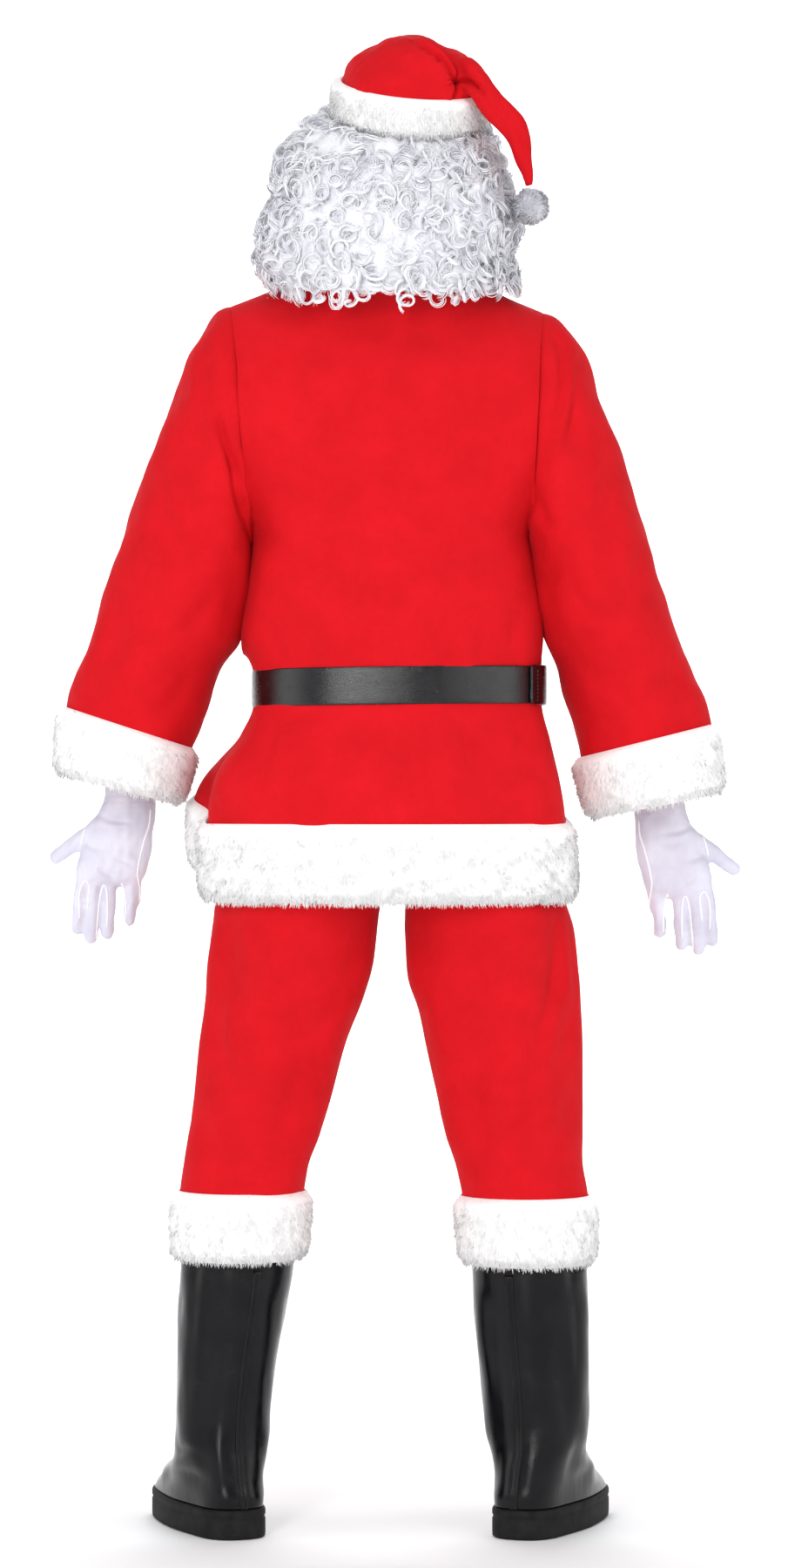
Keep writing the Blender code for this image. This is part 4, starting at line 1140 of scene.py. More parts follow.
def band_plane(points):
    """How far points are above the hat's lower edge."""
    size = HAT.at(0.0)
    slope = (size["outer_height"] - size["inner_height"]) / (size["outer_x"] - size["inner_x"])
    level = size["inner_height"] + slope * (points[..., 0] - size["inner_x"])
    return points[..., 2] - (level - size["tilt"] * points[..., 1])


def hat():
    """The crown and its tail as one skin with pleats and creases, then what is sewn to them."""
    dome = hat_rings(np.linspace(0, 1, 44), 90)
    below = dome[:1] * 2 - dome[2:3]
    dome = loose_loft("hat_crown_cloth", np.concatenate([below, dome]), "plush")
    tail = loose_loft("tail", tail_rings(np.linspace(0, 1, 40), 36), "plush")
    crown = fuse([dome, tail], CROWN_VOXEL, 6)
    mesh = crown.data
    points, outward = points_of(mesh), of_vertices(mesh, "normal")
    sway = 1.4 * unevenness(points, 70, 50) + 0.5 * unevenness(points, 26, 51)
    points = points + outward * sway[:, None]
    points = creased(points[None], outward[None], HAT_CREASES, 1)[0]
    spots = seen(points)
    for line, height in HAT_PLEATS:
        place, aside = beside(spots, smooth_line(line, 20))
        fade = np.sin(np.pi * np.clip(place, 0.03, 0.97)) ** 0.6 * ease(outward[:, 1] + 0.6)
        step = np.tanh(aside / 1.5) * np.exp(-np.abs(aside) / np.where(aside > 0, 14, 8))
        groove = 2.6 * np.exp(-(((aside + 4) / 3.2) ** 2))
        points = points + outward * (0.5 * height * fade * (step - groove))[:, None]
    set_points(mesh, points)
    spine = tail_rings(np.linspace(0.3, 1, 30), 8).mean(1)

    def is_mouth(middles):
        from_tail = np.linalg.norm(middles[:, None] - spine[None], axis=-1).min(1)
        return (band_plane(middles) < 1.0) & (from_tail > TAIL_CLEAR)

    fold = hat_fold(mesh)
    finish_skin(crown, is_mouth, CLOTH, "plush", "hat_crown")
    hat_band()
    pompom()


def hat_fold(mesh):
    """The corner of the crown's left half that lies over its right half, with a free edge."""
    skin = skin_tree(mesh)
    count, across = 30, 12
    edge, root = smooth_line(HAT_FOLD_EDGE, count), smooth_line(HAT_FOLD_ROOT, count)
    share = np.linspace(0, 1, across)
    spots = edge[:, None] + (root - edge)[:, None] * share[None, :, None]
    points, outward = np.empty((count, across, 3)), np.empty((count, across, 3))
    x, height = (MIDDLE_COLUMN - spots[..., 0]) * PIXEL, (FLOOR_ROW - spots[..., 1]) * PIXEL
    for i, j in np.ndindex(count, across):
        hit = skin.ray_cast((x[i, j], 300.0, height[i, j]), (0, -1, 0))
        points[i, j], outward[i, j] = hit[0], hit[1]
    ends = np.sin(np.pi * np.linspace(0, 1, count))[:, None].clip(0) ** 0.8
    outward[:] = unit(outward.mean((0, 1)) + 0.5 * outward.mean(1, keepdims=True))
    sunk = FOLD_SUNK + FOLD_ROOT_SUNK * share[None] ** 2
    lift = FOLD_LIFT * ends * (1 - share[None]) ** 1.6 - sunk
    roll = FOLD_ROLL * ends * bump(share[None] - 0.12, 0.12)
    outer = points + outward * lift[..., None] + np.array([0, 1, 0]) * roll[..., None]
    inner = outer - outward * (CLOTH * (1 - 0.5 * share))[None, :, None]
    return add_wall("hat_crown_fold", outer, inner, False, "plush")


HAT_BAND_WIDTH = 44.0


def hat_band():
    def surface(across, out):
        along = HAT_BAND_TOP * (1 - across / HAT_BAND_WIDTH)
        rings = hat_rings(np.clip(along, 0, HAT_BAND_TOP), 150, out)
        rings[..., 2] -= np.maximum(across - HAT_BAND_WIDTH + 2, 0)[:, None]
        return rings

    fur_strip("hat_band", surface, HAT_BAND_WIDTH, 16000, 51, True)


def pompom():
    """A ball of pile: blades stand out all round a small core."""
    middle = np.array([POMPOM["x"], POMPOM["y"], POMPOM["height"]])
    core = POMPOM["radius"] * 0.74
    up, around = np.meshgrid(np.linspace(4, 176, 30), np.linspace(0, 360, 61), indexing="ij")
    ball = np.stack([sine(up) * cosine(around), sine(up) * sine(around), cosine(up)], -1)
    lumps = 1 + 0.05 * unevenness(ball * core, 12, 61)
    grid = middle + ball * core * lumps[..., None]
    piece = add_loft("hat_pompom_core", grid[:, :-1], False, "wool", "hat_pompom")
    shape = (7000, POMPOM["radius"] * 0.36, 0.9, (0, 0, -0.1), 62)
    add_pile("hat_pompom_pile", grid, ball, *shape, "wool")


# Wig


def head_plane(x, y):
    """Height of the tilted plane on which the hat's band ends."""
    return HEAD["height"] + HEAD["side_tilt"] * (x - HEAD["x"]) - HEAD["back_tilt"] * y


def wig_cap():
    """The net cap that the curls are sewn to, under the hat."""
    ups = np.concatenate([np.linspace(0, 60, 14), np.linspace(63, 79, 9)])
    size = CAP.at(ups)
    angle = round_angles(72)
    clear = 6.0 * ease(ups / 50)[:, None]
    x = (HEAD["x"] - 0.06 * ups)[:, None] - (size["width"][:, None] - clear) * cosine(angle)
    y = (0.31 * ups)[:, None] + (size["depth"][:, None] - clear) * sine(angle)
    outer = np.stack([x, y, head_plane(x, y) + 1.05 * ups[:, None] - clear], -1)
    outward = normals(outer, True)
    middle = np.broadcast_to(outer[-1].mean(0), outer[-1:].shape)
    outer = np.concatenate([outer, middle + (outer[-1:] - middle) * 0.05])
    inner = np.concatenate([outer[:-1] - outward * CLOTH, outer[-1:] - np.array([0, 0, CLOTH])])
    thing = add_wall("wig_cap_net", outer, inner, True, "net", "wig_cap")


def wig_surface(down, angle, inward=0.0):
    """The outside of the mass of curls; down and angle are arrays of one shape."""
    size = WIG.at(down)
    c, s = cosine(angle), sine(angle)
    x = (np.where(c > 0, size["left"], size["right"]) - inward) * power(c, 0.92)
    y = (np.where(s > 0, size["back"], size["front"]) - inward) * power(s, 0.92)
    level = size["height"] - size["tilt"] * y
    near_hat = 1 - ease(down / 0.1)
    level = level + (head_plane(x, y) - 2 - SEAM - level) * near_hat
    return np.stack([x, y, level], -1)


def wig_mass():
    """What lies under the curls: a soft, lumpy wall open over the face."""
    ends = np.linspace(*WIG_ENDS, 90)
    down, angle = np.meshgrid(np.linspace(0, 0.95, 44), ends, indexing="ij")
    outer = wig_surface(down, angle, 6.5)
    lumps = 2.6 * unevenness(outer, 30, 71) + 1.6 * unevenness(outer, 14, 72)
    outward = normals(outer, False)
    thickness = (WIG_HAIR - 11) * (0.5 + 0.5 * ease(down / 0.3))
    inner = wig_surface(down, angle, 6.5 + thickness)
    outer = outer + outward * lumps[..., None]
    return add_wall("wig_curls_mass", outer, inner, False, "hair_deep", "wig_curls")


CURLS = (
    # layer, spacing, strands, steps, radius from and to, turns from and to, drop, inward, lean
    ("under", 17.0, 12, 15, 7.5, 11.0, 1.2, 1.9, 9, 5.0, 0.8),
    ("over", 25.0, 13, 18, 9.0, 13.5, 1.1, 1.6, 7, 1.5, 0.5),
    ("hanging", 0, 13, 21, 8.0, 12.0, 1.3, 2.0, 16, 3.0, 0.6),
)


WIG_DROP = 212


def curl_places(layer, spacing, dice):
    """Where curls grow, as shares down and degrees: evenly spread, each out of line a little."""
    start, end = WIG_ENDS
    if layer == "hanging":
        angle = np.arange(start + 4, end - 3, 3.4)
        return [(dice.uniform(0.87, 0.99), a + dice.uniform(-2, 2)) for a in angle]
    places = []
    for down in np.arange(0.03, 0.93, spacing / WIG_DROP):
        ring = wig_surface(np.full(60, down), np.linspace(start, end, 60))
        length = np.linalg.norm(np.diff(ring, axis=0), axis=1).sum()
        count = max(int(length / spacing), 1)
        for k in range(count):
            share = (k + 0.5 + dice.uniform(-0.42, 0.42)) / count
            shift = dice.uniform(-0.4, 0.4) * spacing / WIG_DROP
            places.append((down + shift, start + share * (end - start)))
    return places


def curl(down, angle, strands, steps, radius, turns, drop, inward, lean, dice):
    """A ringlet: thin strands side by side round one open coil that hangs a little."""
    around = np.array([[down, angle], [down + 0.02, angle], [down, angle + 2]])
    middle, below, beside = wig_surface(np.clip(around[:, 0], 0, 1), around[:, 1], inward)
    forward, side = unit(below - middle), unit(beside - middle)
    outward = unit(np.cross(forward, side))
    outward = outward if (outward * middle * (1, 1, 0)).sum() > 0 else -outward
    axis = unit(outward + lean * (forward * dice.normal() + side * dice.normal()))
    first = unit(np.cross(axis, forward))
    second = np.cross(axis, first)
    place = np.linspace(0, 1, steps)
    hand, phase = dice.choice([-1, 1]), dice.uniform(0, 2 * np.pi)
    made = []
    for k in range(strands):
        turn = phase + hand * 2 * np.pi * turns * place + dice.normal(0, 0.10)
        loose = 1 + 0.5 * np.abs(2 * place - 1) ** 3
        own = radius * (1 - 0.22 * place) + dice.normal(0, 1.3) * loose
        lift = dice.normal(0, 1.3) * loose + 3.0 * turns * (place - 0.5)
        spoke = first * np.cos(turn)[:, None] + second * np.sin(turn)[:, None]
        line = middle + spoke * own[:, None] + axis * lift[:, None]
        line = line + forward * (drop * (place - 0.4))[:, None]
        tilt = np.pi * k / strands
        away = unit(outward + 0.4 * spoke)
        made.append((line, spoke * math.cos(tilt) + axis * math.sin(tilt), away))
    return made


STRAND_HALF_WIDTH = 0.42


def add_strands(name, strands):
    """Flat ribbons along lines of points, each with its own way for its breadth.

    They are shaded as round strands are: more across the lock than across the ribbon.
    """
    points, faces, shades, start = [], [], [], 0
    for line, breadth, away in strands:
        taper = np.minimum(1, 3 * np.sin(np.pi * np.linspace(0.03, 0.97, len(line))))[:, None]
        along = unit(np.gradient(line, axis=0))
        across = unit(breadth - along * (breadth * along).sum(-1, keepdims=True))
        face = np.cross(along, across)
        face = face * np.sign((face * away).sum(-1, keepdims=True) + 1e-6)
        across = np.cross(face, along) * STRAND_HALF_WIDTH * taper
        points.append(np.stack([line + across, line - across], 1).reshape(-1, 3))
        shades.append(np.repeat(unit(face * 0.35 + away), 2, axis=0))
        faces.append(grid_faces(len(line), 2, False, start))
        start += 2 * len(line)
    thing = add_mesh(name, np.concatenate(points), np.concatenate(faces), "hair")
    thing.data.normals_split_custom_set_from_vertices(np.concatenate(shades).tolist())


def wig():
    mass = wig_mass()
    dice = np.random.default_rng(77)
    for layer, spacing, strands, steps, small, large, few, many, drop, inward, lean in CURLS:
        made = []
        for down, angle in curl_places(layer, spacing, dice):
            radius, turns = dice.uniform(small, large), dice.uniform(few, many)
            made += curl(down, angle, strands, steps, radius, turns, drop, inward, lean, dice)
        add_strands(f"wig_curls_{layer}", made)
# Belt


BELT_COLUMNS = 240
LAP_FROM, LAP_TO = 101, 180


def belt_ring(out):
    return moved(body(np.full(BELT_COLUMNS, BELT_MIDDLE), round_angles(BELT_COLUMNS)), out)


def belt_section(out_near, thickness, half_height):
    """The belt's rounded section: how far out and how far up each point round it is."""
    turn = np.linspace(0, 2 * np.pi, 24, endpoint=False)
    out = out_near + thickness / 2 + power(np.cos(turn), 0.5) * thickness / 2
    up = power(np.sin(turn), 0.28) * half_height
    return out, up


def belt_band(node, columns, near, height_share, closed):
    """A stretch of belt made of the waist's points, moved out; an open one's end tapers."""
    out, up = belt_section(near, LEATHER, BELT_HEIGHT / 2 * height_share)
    rings = []
    for column_out, column_up in zip(out, up):
        ring = belt_ring(column_out)
        ring[:, 2] = BELT_MIDDLE + column_up + ring[:, 0] * BELT_SLOPE
        rings.append(ring)
    section = np.array(rings).transpose(1, 0, 2)[columns]
    if not closed:
        middle = section[:, :, 2].mean(1, keepdims=True)
        corner = np.ones(len(section))
        corner[:4] = (0.86, 0.95, 0.985, 1.0)
        section[:, :, 2] = middle + (section[:, :, 2] - middle) * corner[:, None]
    finish = "leatherette"
    return add_loft(f"{node}_leather", section, closed, finish, node)


STITCH_LENGTH, STITCH_RADIUS, STITCH_STEP = 3.0, 0.55, 4.4


def lap_stitches(spot):
    """A row of short rounded threads up the lap, by its end; spot is on its middle line."""
    rings, faces = [], []
    up_way, out = np.array([0, 0, 1.0]), unit(spot * np.array([1, 1, 0]))
    side = np.cross(up_way, out)
    turn = round_angles(6)[:, None]
    for up in np.arange(-BELT_HEIGHT / 2 + 4, BELT_HEIGHT / 2 - 3, STITCH_STEP):
        faces.append(grid_faces(4, 6, True, len(rings) * 6))
        for place, share in ((-1, 0.3), (-0.6, 1), (0.6, 1), (1, 0.3)):
            ring = (side * cosine(turn) + out * sine(turn) * 0.8) * STITCH_RADIUS * share
            level = up + spot[0] * BELT_SLOPE + place * STITCH_LENGTH / 2
            rings.append(spot + up_way * level + ring)
    points, faces = np.concatenate(rings), np.concatenate(faces)
    return add_mesh("belt_lap_stitches", points, faces, "thread")


def belt():
    strap = belt_band("belt_strap", slice(None), SEAM, 1.0, True)
    near = 2 * SEAM + LEATHER
    columns = np.arange(LAP_FROM, LAP_TO + 1)
    lap = belt_band("belt_lap", columns, near, 1.06, False)
    row = lap_stitches(belt_ring(near + LEATHER + 0.2)[LAP_FROM + 4])
    buckle()


def buckle():
    """A plain frame with softened edges and its prong."""
    face = -(TORSO.at(BELT_MIDDLE)["front"] + 2 * SEAM + 2 * LEATHER + SEAM)
    outer_half, inner_half, thick, corner = (34, 33), (24, 25), 4.0, 5.0
    middle_half = [(a + b) / 2 for a, b in zip(outer_half, inner_half)]
    bar = [(a - b) / 2 for a, b in zip(outer_half, inner_half)]
    quarter = np.linspace(0, 90, 9)
    rings = []
    for turn in np.linspace(0, 360, 16, endpoint=False):
        side, rise = power(cosine(turn), 0.5), power(sine(turn), 0.5)
        half = [middle_half[k] + bar[k] * side for k in range(2)]
        ring = []
        for cx, cz, first in ((1, 1, 0), (-1, 1, 90), (-1, -1, 180), (1, -1, 270)):
            x = cx * (half[0] - corner) + corner * cosine(first + quarter)
            z = cz * (half[1] - corner) + corner * sine(first + quarter)
            y = np.full_like(x, face - thick / 2 - thick / 2 * rise)
            ring.append(np.stack([x, y, BELT_MIDDLE + z], -1))
        rings.append(np.concatenate(ring))
    frame = np.array(rings).transpose(1, 0, 2)
    add_loft("belt_buckle_frame", frame, True, "metal", "belt_buckle")
    reach = inner_half[0] - SEAM
    x, turn = np.meshgrid(np.linspace(-reach, reach, 12), round_angles(14), indexing="ij")
    thickness = 1 - 0.25 * ease((x + reach) / (2 * reach))
    y, rise = face - 1.75 - 1.75 * cosine(turn), 2.5 * thickness * sine(turn)
    prong = np.stack([x, y, BELT_MIDDLE + rise], -1)
    add_loft("belt_buckle_prong", prong, False, "metal", "belt_prong")


# Boots


BOOT_COLUMNS = 76


def boot_ring(side, height, out=0.0):
    """A ring of a boot cover; above the fur cuff's edge it follows the trouser leg."""
    if height >= LEG_HEM[side]:
        return leg_rings(side, [height], BOOT_COLUMNS // 2 + 1, out - CLOTH - 2 * SEAM)[0]
    size = BOOT[side].at(height)
    foot = ease((130 - height) / 60)
    exponent = 1 - 0.2 * foot
    angle = round_angles(BOOT_COLUMNS) - math.degrees(TOE_OUT)
    along = power(sine(angle), exponent)
    along = along * np.where(along > 0, size["back"], size["front"])
    narrow = HEEL_SHARE + (1 - HEEL_SHARE) * ease((40 - along) / BALL_DISTANCE)
    across = power(cosine(angle), exponent) * size["width"] * (1 + (narrow - 1) * foot)
    c, s = math.cos(TOE_OUT), math.sin(TOE_OUT)
    x = size["x"] + across * c - along * s
    y = size["y"] + across * s + along * c
    ring = np.stack([x, y, np.full_like(x, height)], -1)
    return moved(ring, out) * MIRROR[side]


BOOT_CREASES = {
    "left": (
        (((243, 1450), (247, 1540), (240, 1640), (228, 1716)), 12, 3.4, 1),
        (((316, 1470), (310, 1560), (302, 1650)), 14, 1.6, -1),
        (((194, 1672), (214, 1664), (232, 1676)), 6, 2.2, 1),
        (((188, 1700), (210, 1690), (236, 1702)), 6, 1.8, -1),
    ),
    "right": (
        (((628, 1450), (640, 1540), (652, 1630), (664, 1700)), 12, 3.4, -1),
        (((562, 1470), (568, 1550), (576, 1640)), 14, 1.8, 1),
        (((668, 1664), (684, 1656), (700, 1668)), 6, 2.2, 1),
        (((656, 1700), (680, 1690), (702, 1700)), 6, 1.8, -1),
    ),
}


def boot_surface(side):
    hem = LEG_HEM[side]
    stretches = ((hem + 40, hem, 8), (hem - 8, 130, 46), (127, SOLE_HEIGHT + 1, 34))
    heights = np.concatenate([np.linspace(*stretch) for stretch in stretches])
    outer = np.array([boot_ring(side, height) for height in heights])
    outward = normals(outer, True)
    below_cuff = ease((hem - 20 - heights) / 40) * ease((heights - 40) / 30)
    upright = outer * np.array([1, 1, 0.3])
    crinkle = 1.3 * unevenness(upright, 60, 81) + 0.4 * unevenness(upright, 26, 82)
    outer = outer + outward * (crinkle * below_cuff[:, None])[..., None]
    outer = creased(outer, outward, BOOT_CREASES[side], 1)
    upright_ones = BOOT_CREASES[side][:2]
    return creased(outer, outward, upright_ones, -1), outward


def boot(side):
    outer, outward = boot_surface(side)
    inner = outer - outward * VINYL
    inner[-1, :, 2] = outer[-1, :, 2]
    name = f"boot_{side}"
    cover = add_wall(f"{name}_cover", outer, inner, True, "vinyl", name)
    seam = [back_seam(side, outer, outward)]
    sole(side)


def back_seam(side, outer, outward):
    """Two piped ridges side by side up the heel's middle, with a valley between."""
    heel = round(BOOT_COLUMNS / 4 + BOOT_COLUMNS * math.degrees(TOE_OUT) / 360)
    first = 9
    line, out = outer[first:, heel], outward[first:, heel]
    along = unit(np.gradient(line, axis=0))
    across = np.cross(along, out)
    lift = ((-5.6, 0.2), (-4.4, 1.7), (-3.0, 2.6), (-1.5, 1.9), (0, 0.9))
    lift += tuple((-x, up) for x, up in lift[-2::-1])
    under = [(x, SEAM / 2) for x, _ in lift[::-1]]
    section = np.stack([line + across * x + out * up for x, up in [*lift, *under]], 1)
    name = f"boot_seam_{side}"
    return add_loft(f"{name}_piping", section, False, "vinyl", name)


def sole(side):
    """A matte moulded sole with a welt line and a rounded edge."""
    profile = (
        # height, how far out
        (0, -3),
        (0.0, 1.0),
        (1.5, 2.6),
        (6, SOLE_PROUD),
        (22, SOLE_PROUD),
        (24, SOLE_PROUD - 1.2),
        (26, SOLE_PROUD - 1.2),
        (28, SOLE_PROUD),
        (33, SOLE_PROUD),
        (SOLE_HEIGHT + 0.5, SOLE_PROUD - 1.0),
        (SOLE_HEIGHT + 0.7, -2),
    )
    rings = []
    for height, out in profile:
        ring = boot_ring(side, SOLE_HEIGHT + 1, out)
        ring[:, 2] = height
        rings.append(ring)
    name = f"boot_sole_{side}"
    add_loft(f"{name}_rubber", np.array(rings), False, "sole", name)


# Gloves


GLOVE_VOXEL = 2.6
# The hand's outer edge, fused in like a digit: root x and height, tip, and their radii.
HAND_EDGE = ("edge", 319.5, 846, 322, 765, 12.5, 8.4)
# Creases across the fingers, height and depth; only the thumb is past FINGERS_WITHIN.
KNUCKLE_CREASES = ((770, 0.9), (752, 0.7), (744, 0.6))
FINGERS_WITHIN = 395
SATIN = 1.2
SEAM_CORD = 1.15
GLOVE_SEAMS = (
    # raised seams, as lines of pixels on the left glove; the right one mirrors them
    ((99, 938), (95, 948), (91, 960), (89, 970)),
    (
        *((170, 929), (169, 944), (163, 965), (157, 990)),
        *((155, 1004), (157, 1024), (155, 1044), (152, 1057)),
    ),
    ((87, 1056), (87, 1034), (89, 1020), (94, 1012), (99, 1019), (98, 1030), (96, 1046)),
    (
        *((106, 1080), (108, 1058), (110, 1037), (113, 1022)),
        *((116, 1017), (119, 1024), (120, 1044), (119, 1066)),
    ),
    ((140, 1070), (141, 1040), (139, 1024), (137, 1015), (135, 1024), (134, 1046)),
)
GLOVE_WRINKLES = (
    (((108, 934), (130, 942), (152, 944)), 3, 1.6, 1),
    (((116, 952), (138, 956), (160, 950)), 3, 1.2, -1),
    (((92, 962), (104, 972), (122, 976)), 3, 1.2, 1),
    (((108, 992), (120, 1002), (136, 1012)), 3, 1.8, 1),
    (((128, 984), (142, 988), (154, 994)), 3, 1.6, -1),
    (((70, 978), (78, 968), (84, 962)), 3, 1.0, 1),
)


def glove_parts(side):
    """The palm and the digits as closed forms, before they are fused."""
    shift = GLOVE_SHIFT[side]
    places = np.linspace(0, 1, 26)
    size = {name: value[:, None] for name, value in GLOVE_PALM.at(places).items()}
    angle = round_angles(44)
    past = np.maximum(places - 0.9, 0) / 0.105
    round_end = np.sqrt(np.maximum(0.15, 1 - past**2))[:, None]
    x = size["x"] + size["width"] * round_end * power(cosine(angle), 0.8)
    y = size["depth"] * round_end * power(sine(angle), 0.8)
    palm = np.stack([x, y, np.broadcast_to(size["height"], x.shape)], -1) + shift
    parts = [loose_loft(f"glove_{side}_satin", palm * MIRROR[side], "satin")]
    for name, root_x, root_height, tip_x, tip_height, root, tip in [*GLOVE_DIGITS, HAND_EDGE]:
        curl = -20 if name == "thumb" else -8
        start = np.array([root_x, 0, root_height]) + shift
        end = np.array([tip_x, curl, tip_height]) + shift
        length = np.linalg.norm(end - start)
        axis = (end - start) / length
        across = unit(np.cross(axis, (0, 1, 0)))
        depth = np.cross(across, axis)
        places = np.linspace(-0.12, 1, 26)
        knuckles = 0.5 * bump(places - 0.42, 0.12) + 0.35 * bump(places - 0.74, 0.1)
        radius = root + (tip - root) * np.clip(places, 0, 1) + knuckles
        radius = radius * rounded_end(places, radius, length)
        bow = 3.0 * np.sin(np.pi * np.clip(places, 0, 1))
        spine = start + axis * (places * length)[:, None] + depth * bow[:, None]
        angle = round_angles(24)[:, None]
        ring = across * cosine(angle) + depth * 0.92 * sine(angle)
        rings = spine[:, None] + ring[None] * radius[:, None, None]
        parts.append(loose_loft("digit", rings * MIRROR[side], "satin"))
    return parts


def glove(side):
    """A glove as one skin, gathered at the wrist, with wrinkles and sewn ridges."""
    mirror, shift = MIRROR[side], GLOVE_SHIFT[side]
    thing = fuse(glove_parts(side), GLOVE_VOXEL, 8)
    mesh = thing.data
    points, outward = points_of(mesh), of_vertices(mesh, "normal")
    local = points * mirror - shift
    relief = 0.7 * unevenness(points, 34, 91) + 0.35 * unevenness(points, 13, 92)
    wrist = GLOVE_PALM.at(0.22)["height"]
    gathers = np.exp(-(((local[:, 2] - wrist) / 16) ** 2))
    wave = np.sin(local[:, 2] * 0.9 + 1.5 * unevenness(points, 40, 93))
    relief = relief + gathers * 0.35 * wave
    for height, depth in KNUCKLE_CREASES:
        knuckle = np.exp(-(((local[:, 2] - height) / 2.0) ** 2))
        relief = relief - depth * knuckle * (local[:, 0] < FINGERS_WITHIN)
    as_left = local + GLOVE_SHIFT["left"]
    bent = creased(as_left[None], (outward * mirror)[None], GLOVE_WRINKLES, 1)[0] - as_left
    set_points(mesh, points + outward * relief[:, None] + bent * mirror)
    seams = [glove_seams(side, mesh)]
    top = GLOVE_PALM.at(0.0)["height"] + shift[2] - 3
    finish_skin(thing, lambda middles: middles[:, 2] > top, SATIN, "satin", f"glove_{side}")


def glove_seams(side, mesh):
    """Cords half sunk in the hand's back, each where its line of pixels falls on the satin; their
    colour is painted far lighter than the satin, a painted highlight for the light that the raised
    seams catch.
    """
    offset = (GLOVE_SHIFT[side] - GLOVE_SHIFT["left"]) * MIRROR[side]
    skin = skin_tree(mesh)
    points, faces, start = [], [], 0
    sides = 8
    for line in GLOVE_SEAMS:
        line = smooth_line(line, 4 * len(line))
        x = (MIDDLE_COLUMN - line[:, 0]) * PIXEL * SIDES[side] + offset[0]
        height = (FLOOR_ROW - line[:, 1]) * PIXEL + offset[2]
        hits = [skin.ray_cast((a, 200.0, b), (0, -1, 0)) for a, b in zip(x, height)]
        spine = np.array([hit[0] for hit in hits if hit[0]])
        out = np.array([hit[1] for hit in hits if hit[0]])
        along = unit(np.gradient(spine, axis=0))
        side_way = unit(np.cross(along, out))
        turn = round_angles(sides)[:, None]
        share = np.minimum(1, 4 * np.sin(np.pi * np.linspace(0.04, 0.96, len(spine))))
        ring = side_way[:, None] * cosine(turn) + out[:, None] * sine(turn)
        ring = ring * SEAM_CORD * share[:, None, None]
        points.append((spine[:, None] + ring).reshape(-1, 3))
        faces.append(grid_faces(len(spine), sides, True, start))
        start += len(spine) * sides
    points, faces = np.concatenate(points), np.concatenate(faces)
    seams = add_mesh(f"glove_{side}_seams", points, faces, "welt_painted_highlight")
    face_outward(seams)
    return seams


# Materials


MATERIALS = {}


class Finish:
    """A node material: mottled colour from noise, and a chain of bumps."""

    def __init__(self, name, roughness, **sockets):
        self.material = MATERIALS[name] = bpy.data.materials.new(name)
        self.material.use_nodes = True
        self.nodes = self.material.node_tree.nodes
        self.shader = self.nodes["Principled BSDF"]
        self.shader.inputs["Roughness"].default_value = roughness
        for socket, value in sockets.items():
            self.shader.inputs[socket.replace("_", " ")].default_value = value
        self.place = self.nodes.new("ShaderNodeTexCoord").outputs["Object"]
        self.last_bump = None

    def link(self, source, target):
        self.material.node_tree.links.new(source, target)

    def noise(self, scale, detail=2.0, rough=0.5, stretch=None, twist=0.0):
        node = self.nodes.new("ShaderNodeTexNoise")
        node.inputs["Scale"].default_value = scale
        node.inputs["Detail"].default_value = detail
        node.inputs["Roughness"].default_value = rough
        node.inputs["Distortion"].default_value = twist
        self.link(self.stretched(stretch), node.inputs["Vector"])
        return node.outputs["Fac"]

    def cells(self, scale, feature="F1"):
        node = self.nodes.new("ShaderNodeTexVoronoi")
        node.feature = feature
        node.inputs["Scale"].default_value = scale
        self.link(self.place, node.inputs["Vector"])
        return node.outputs["Distance"]

    def stretched(self, stretch):
        if stretch is None:
            return self.place
        node = self.nodes.new("ShaderNodeMapping")
        node.inputs["Scale"].default_value = stretch
        self.link(self.place, node.inputs["Vector"])
        return node.outputs["Vector"]

    def colours(self, value, dark, light, low=0.3, high=0.7):
        node = self.nodes.new("ShaderNodeValToRGB")
        ends = zip(node.color_ramp.elements, (low, high), (dark, light))
        for element, position, colour in ends:
            element.position, element.color = position, (*colour, 1)
        self.link(value, node.inputs["Fac"])
        self.link(node.outputs["Color"], self.shader.inputs["Base Color"])

    def rough(self, value, low, high):
        """Lets the roughness run from low to high with value."""
        node = self.nodes.new("ShaderNodeMapRange")
        sockets = {"From Min": 0.3, "From Max": 0.7, "To Min": low, "To Max": high}
        for socket, number in sockets.items():
            node.inputs[socket].default_value = number
        self.link(value, node.inputs["Value"])
        self.link(node.outputs["Result"], self.shader.inputs["Roughness"])

    def raised(self, value, height, strength=1.0):
        """Adds a bump; height is in millimetres."""
        node = self.nodes.new("ShaderNodeBump")
        node.inputs["Strength"].default_value = strength
        node.inputs["Distance"].default_value = height * MM
        self.link(value, node.inputs["Height"])
        if self.last_bump:
            self.link(self.last_bump, node.inputs["Normal"])
        self.last_bump = node.outputs["Normal"]
        self.link(self.last_bump, self.shader.inputs["Normal"])


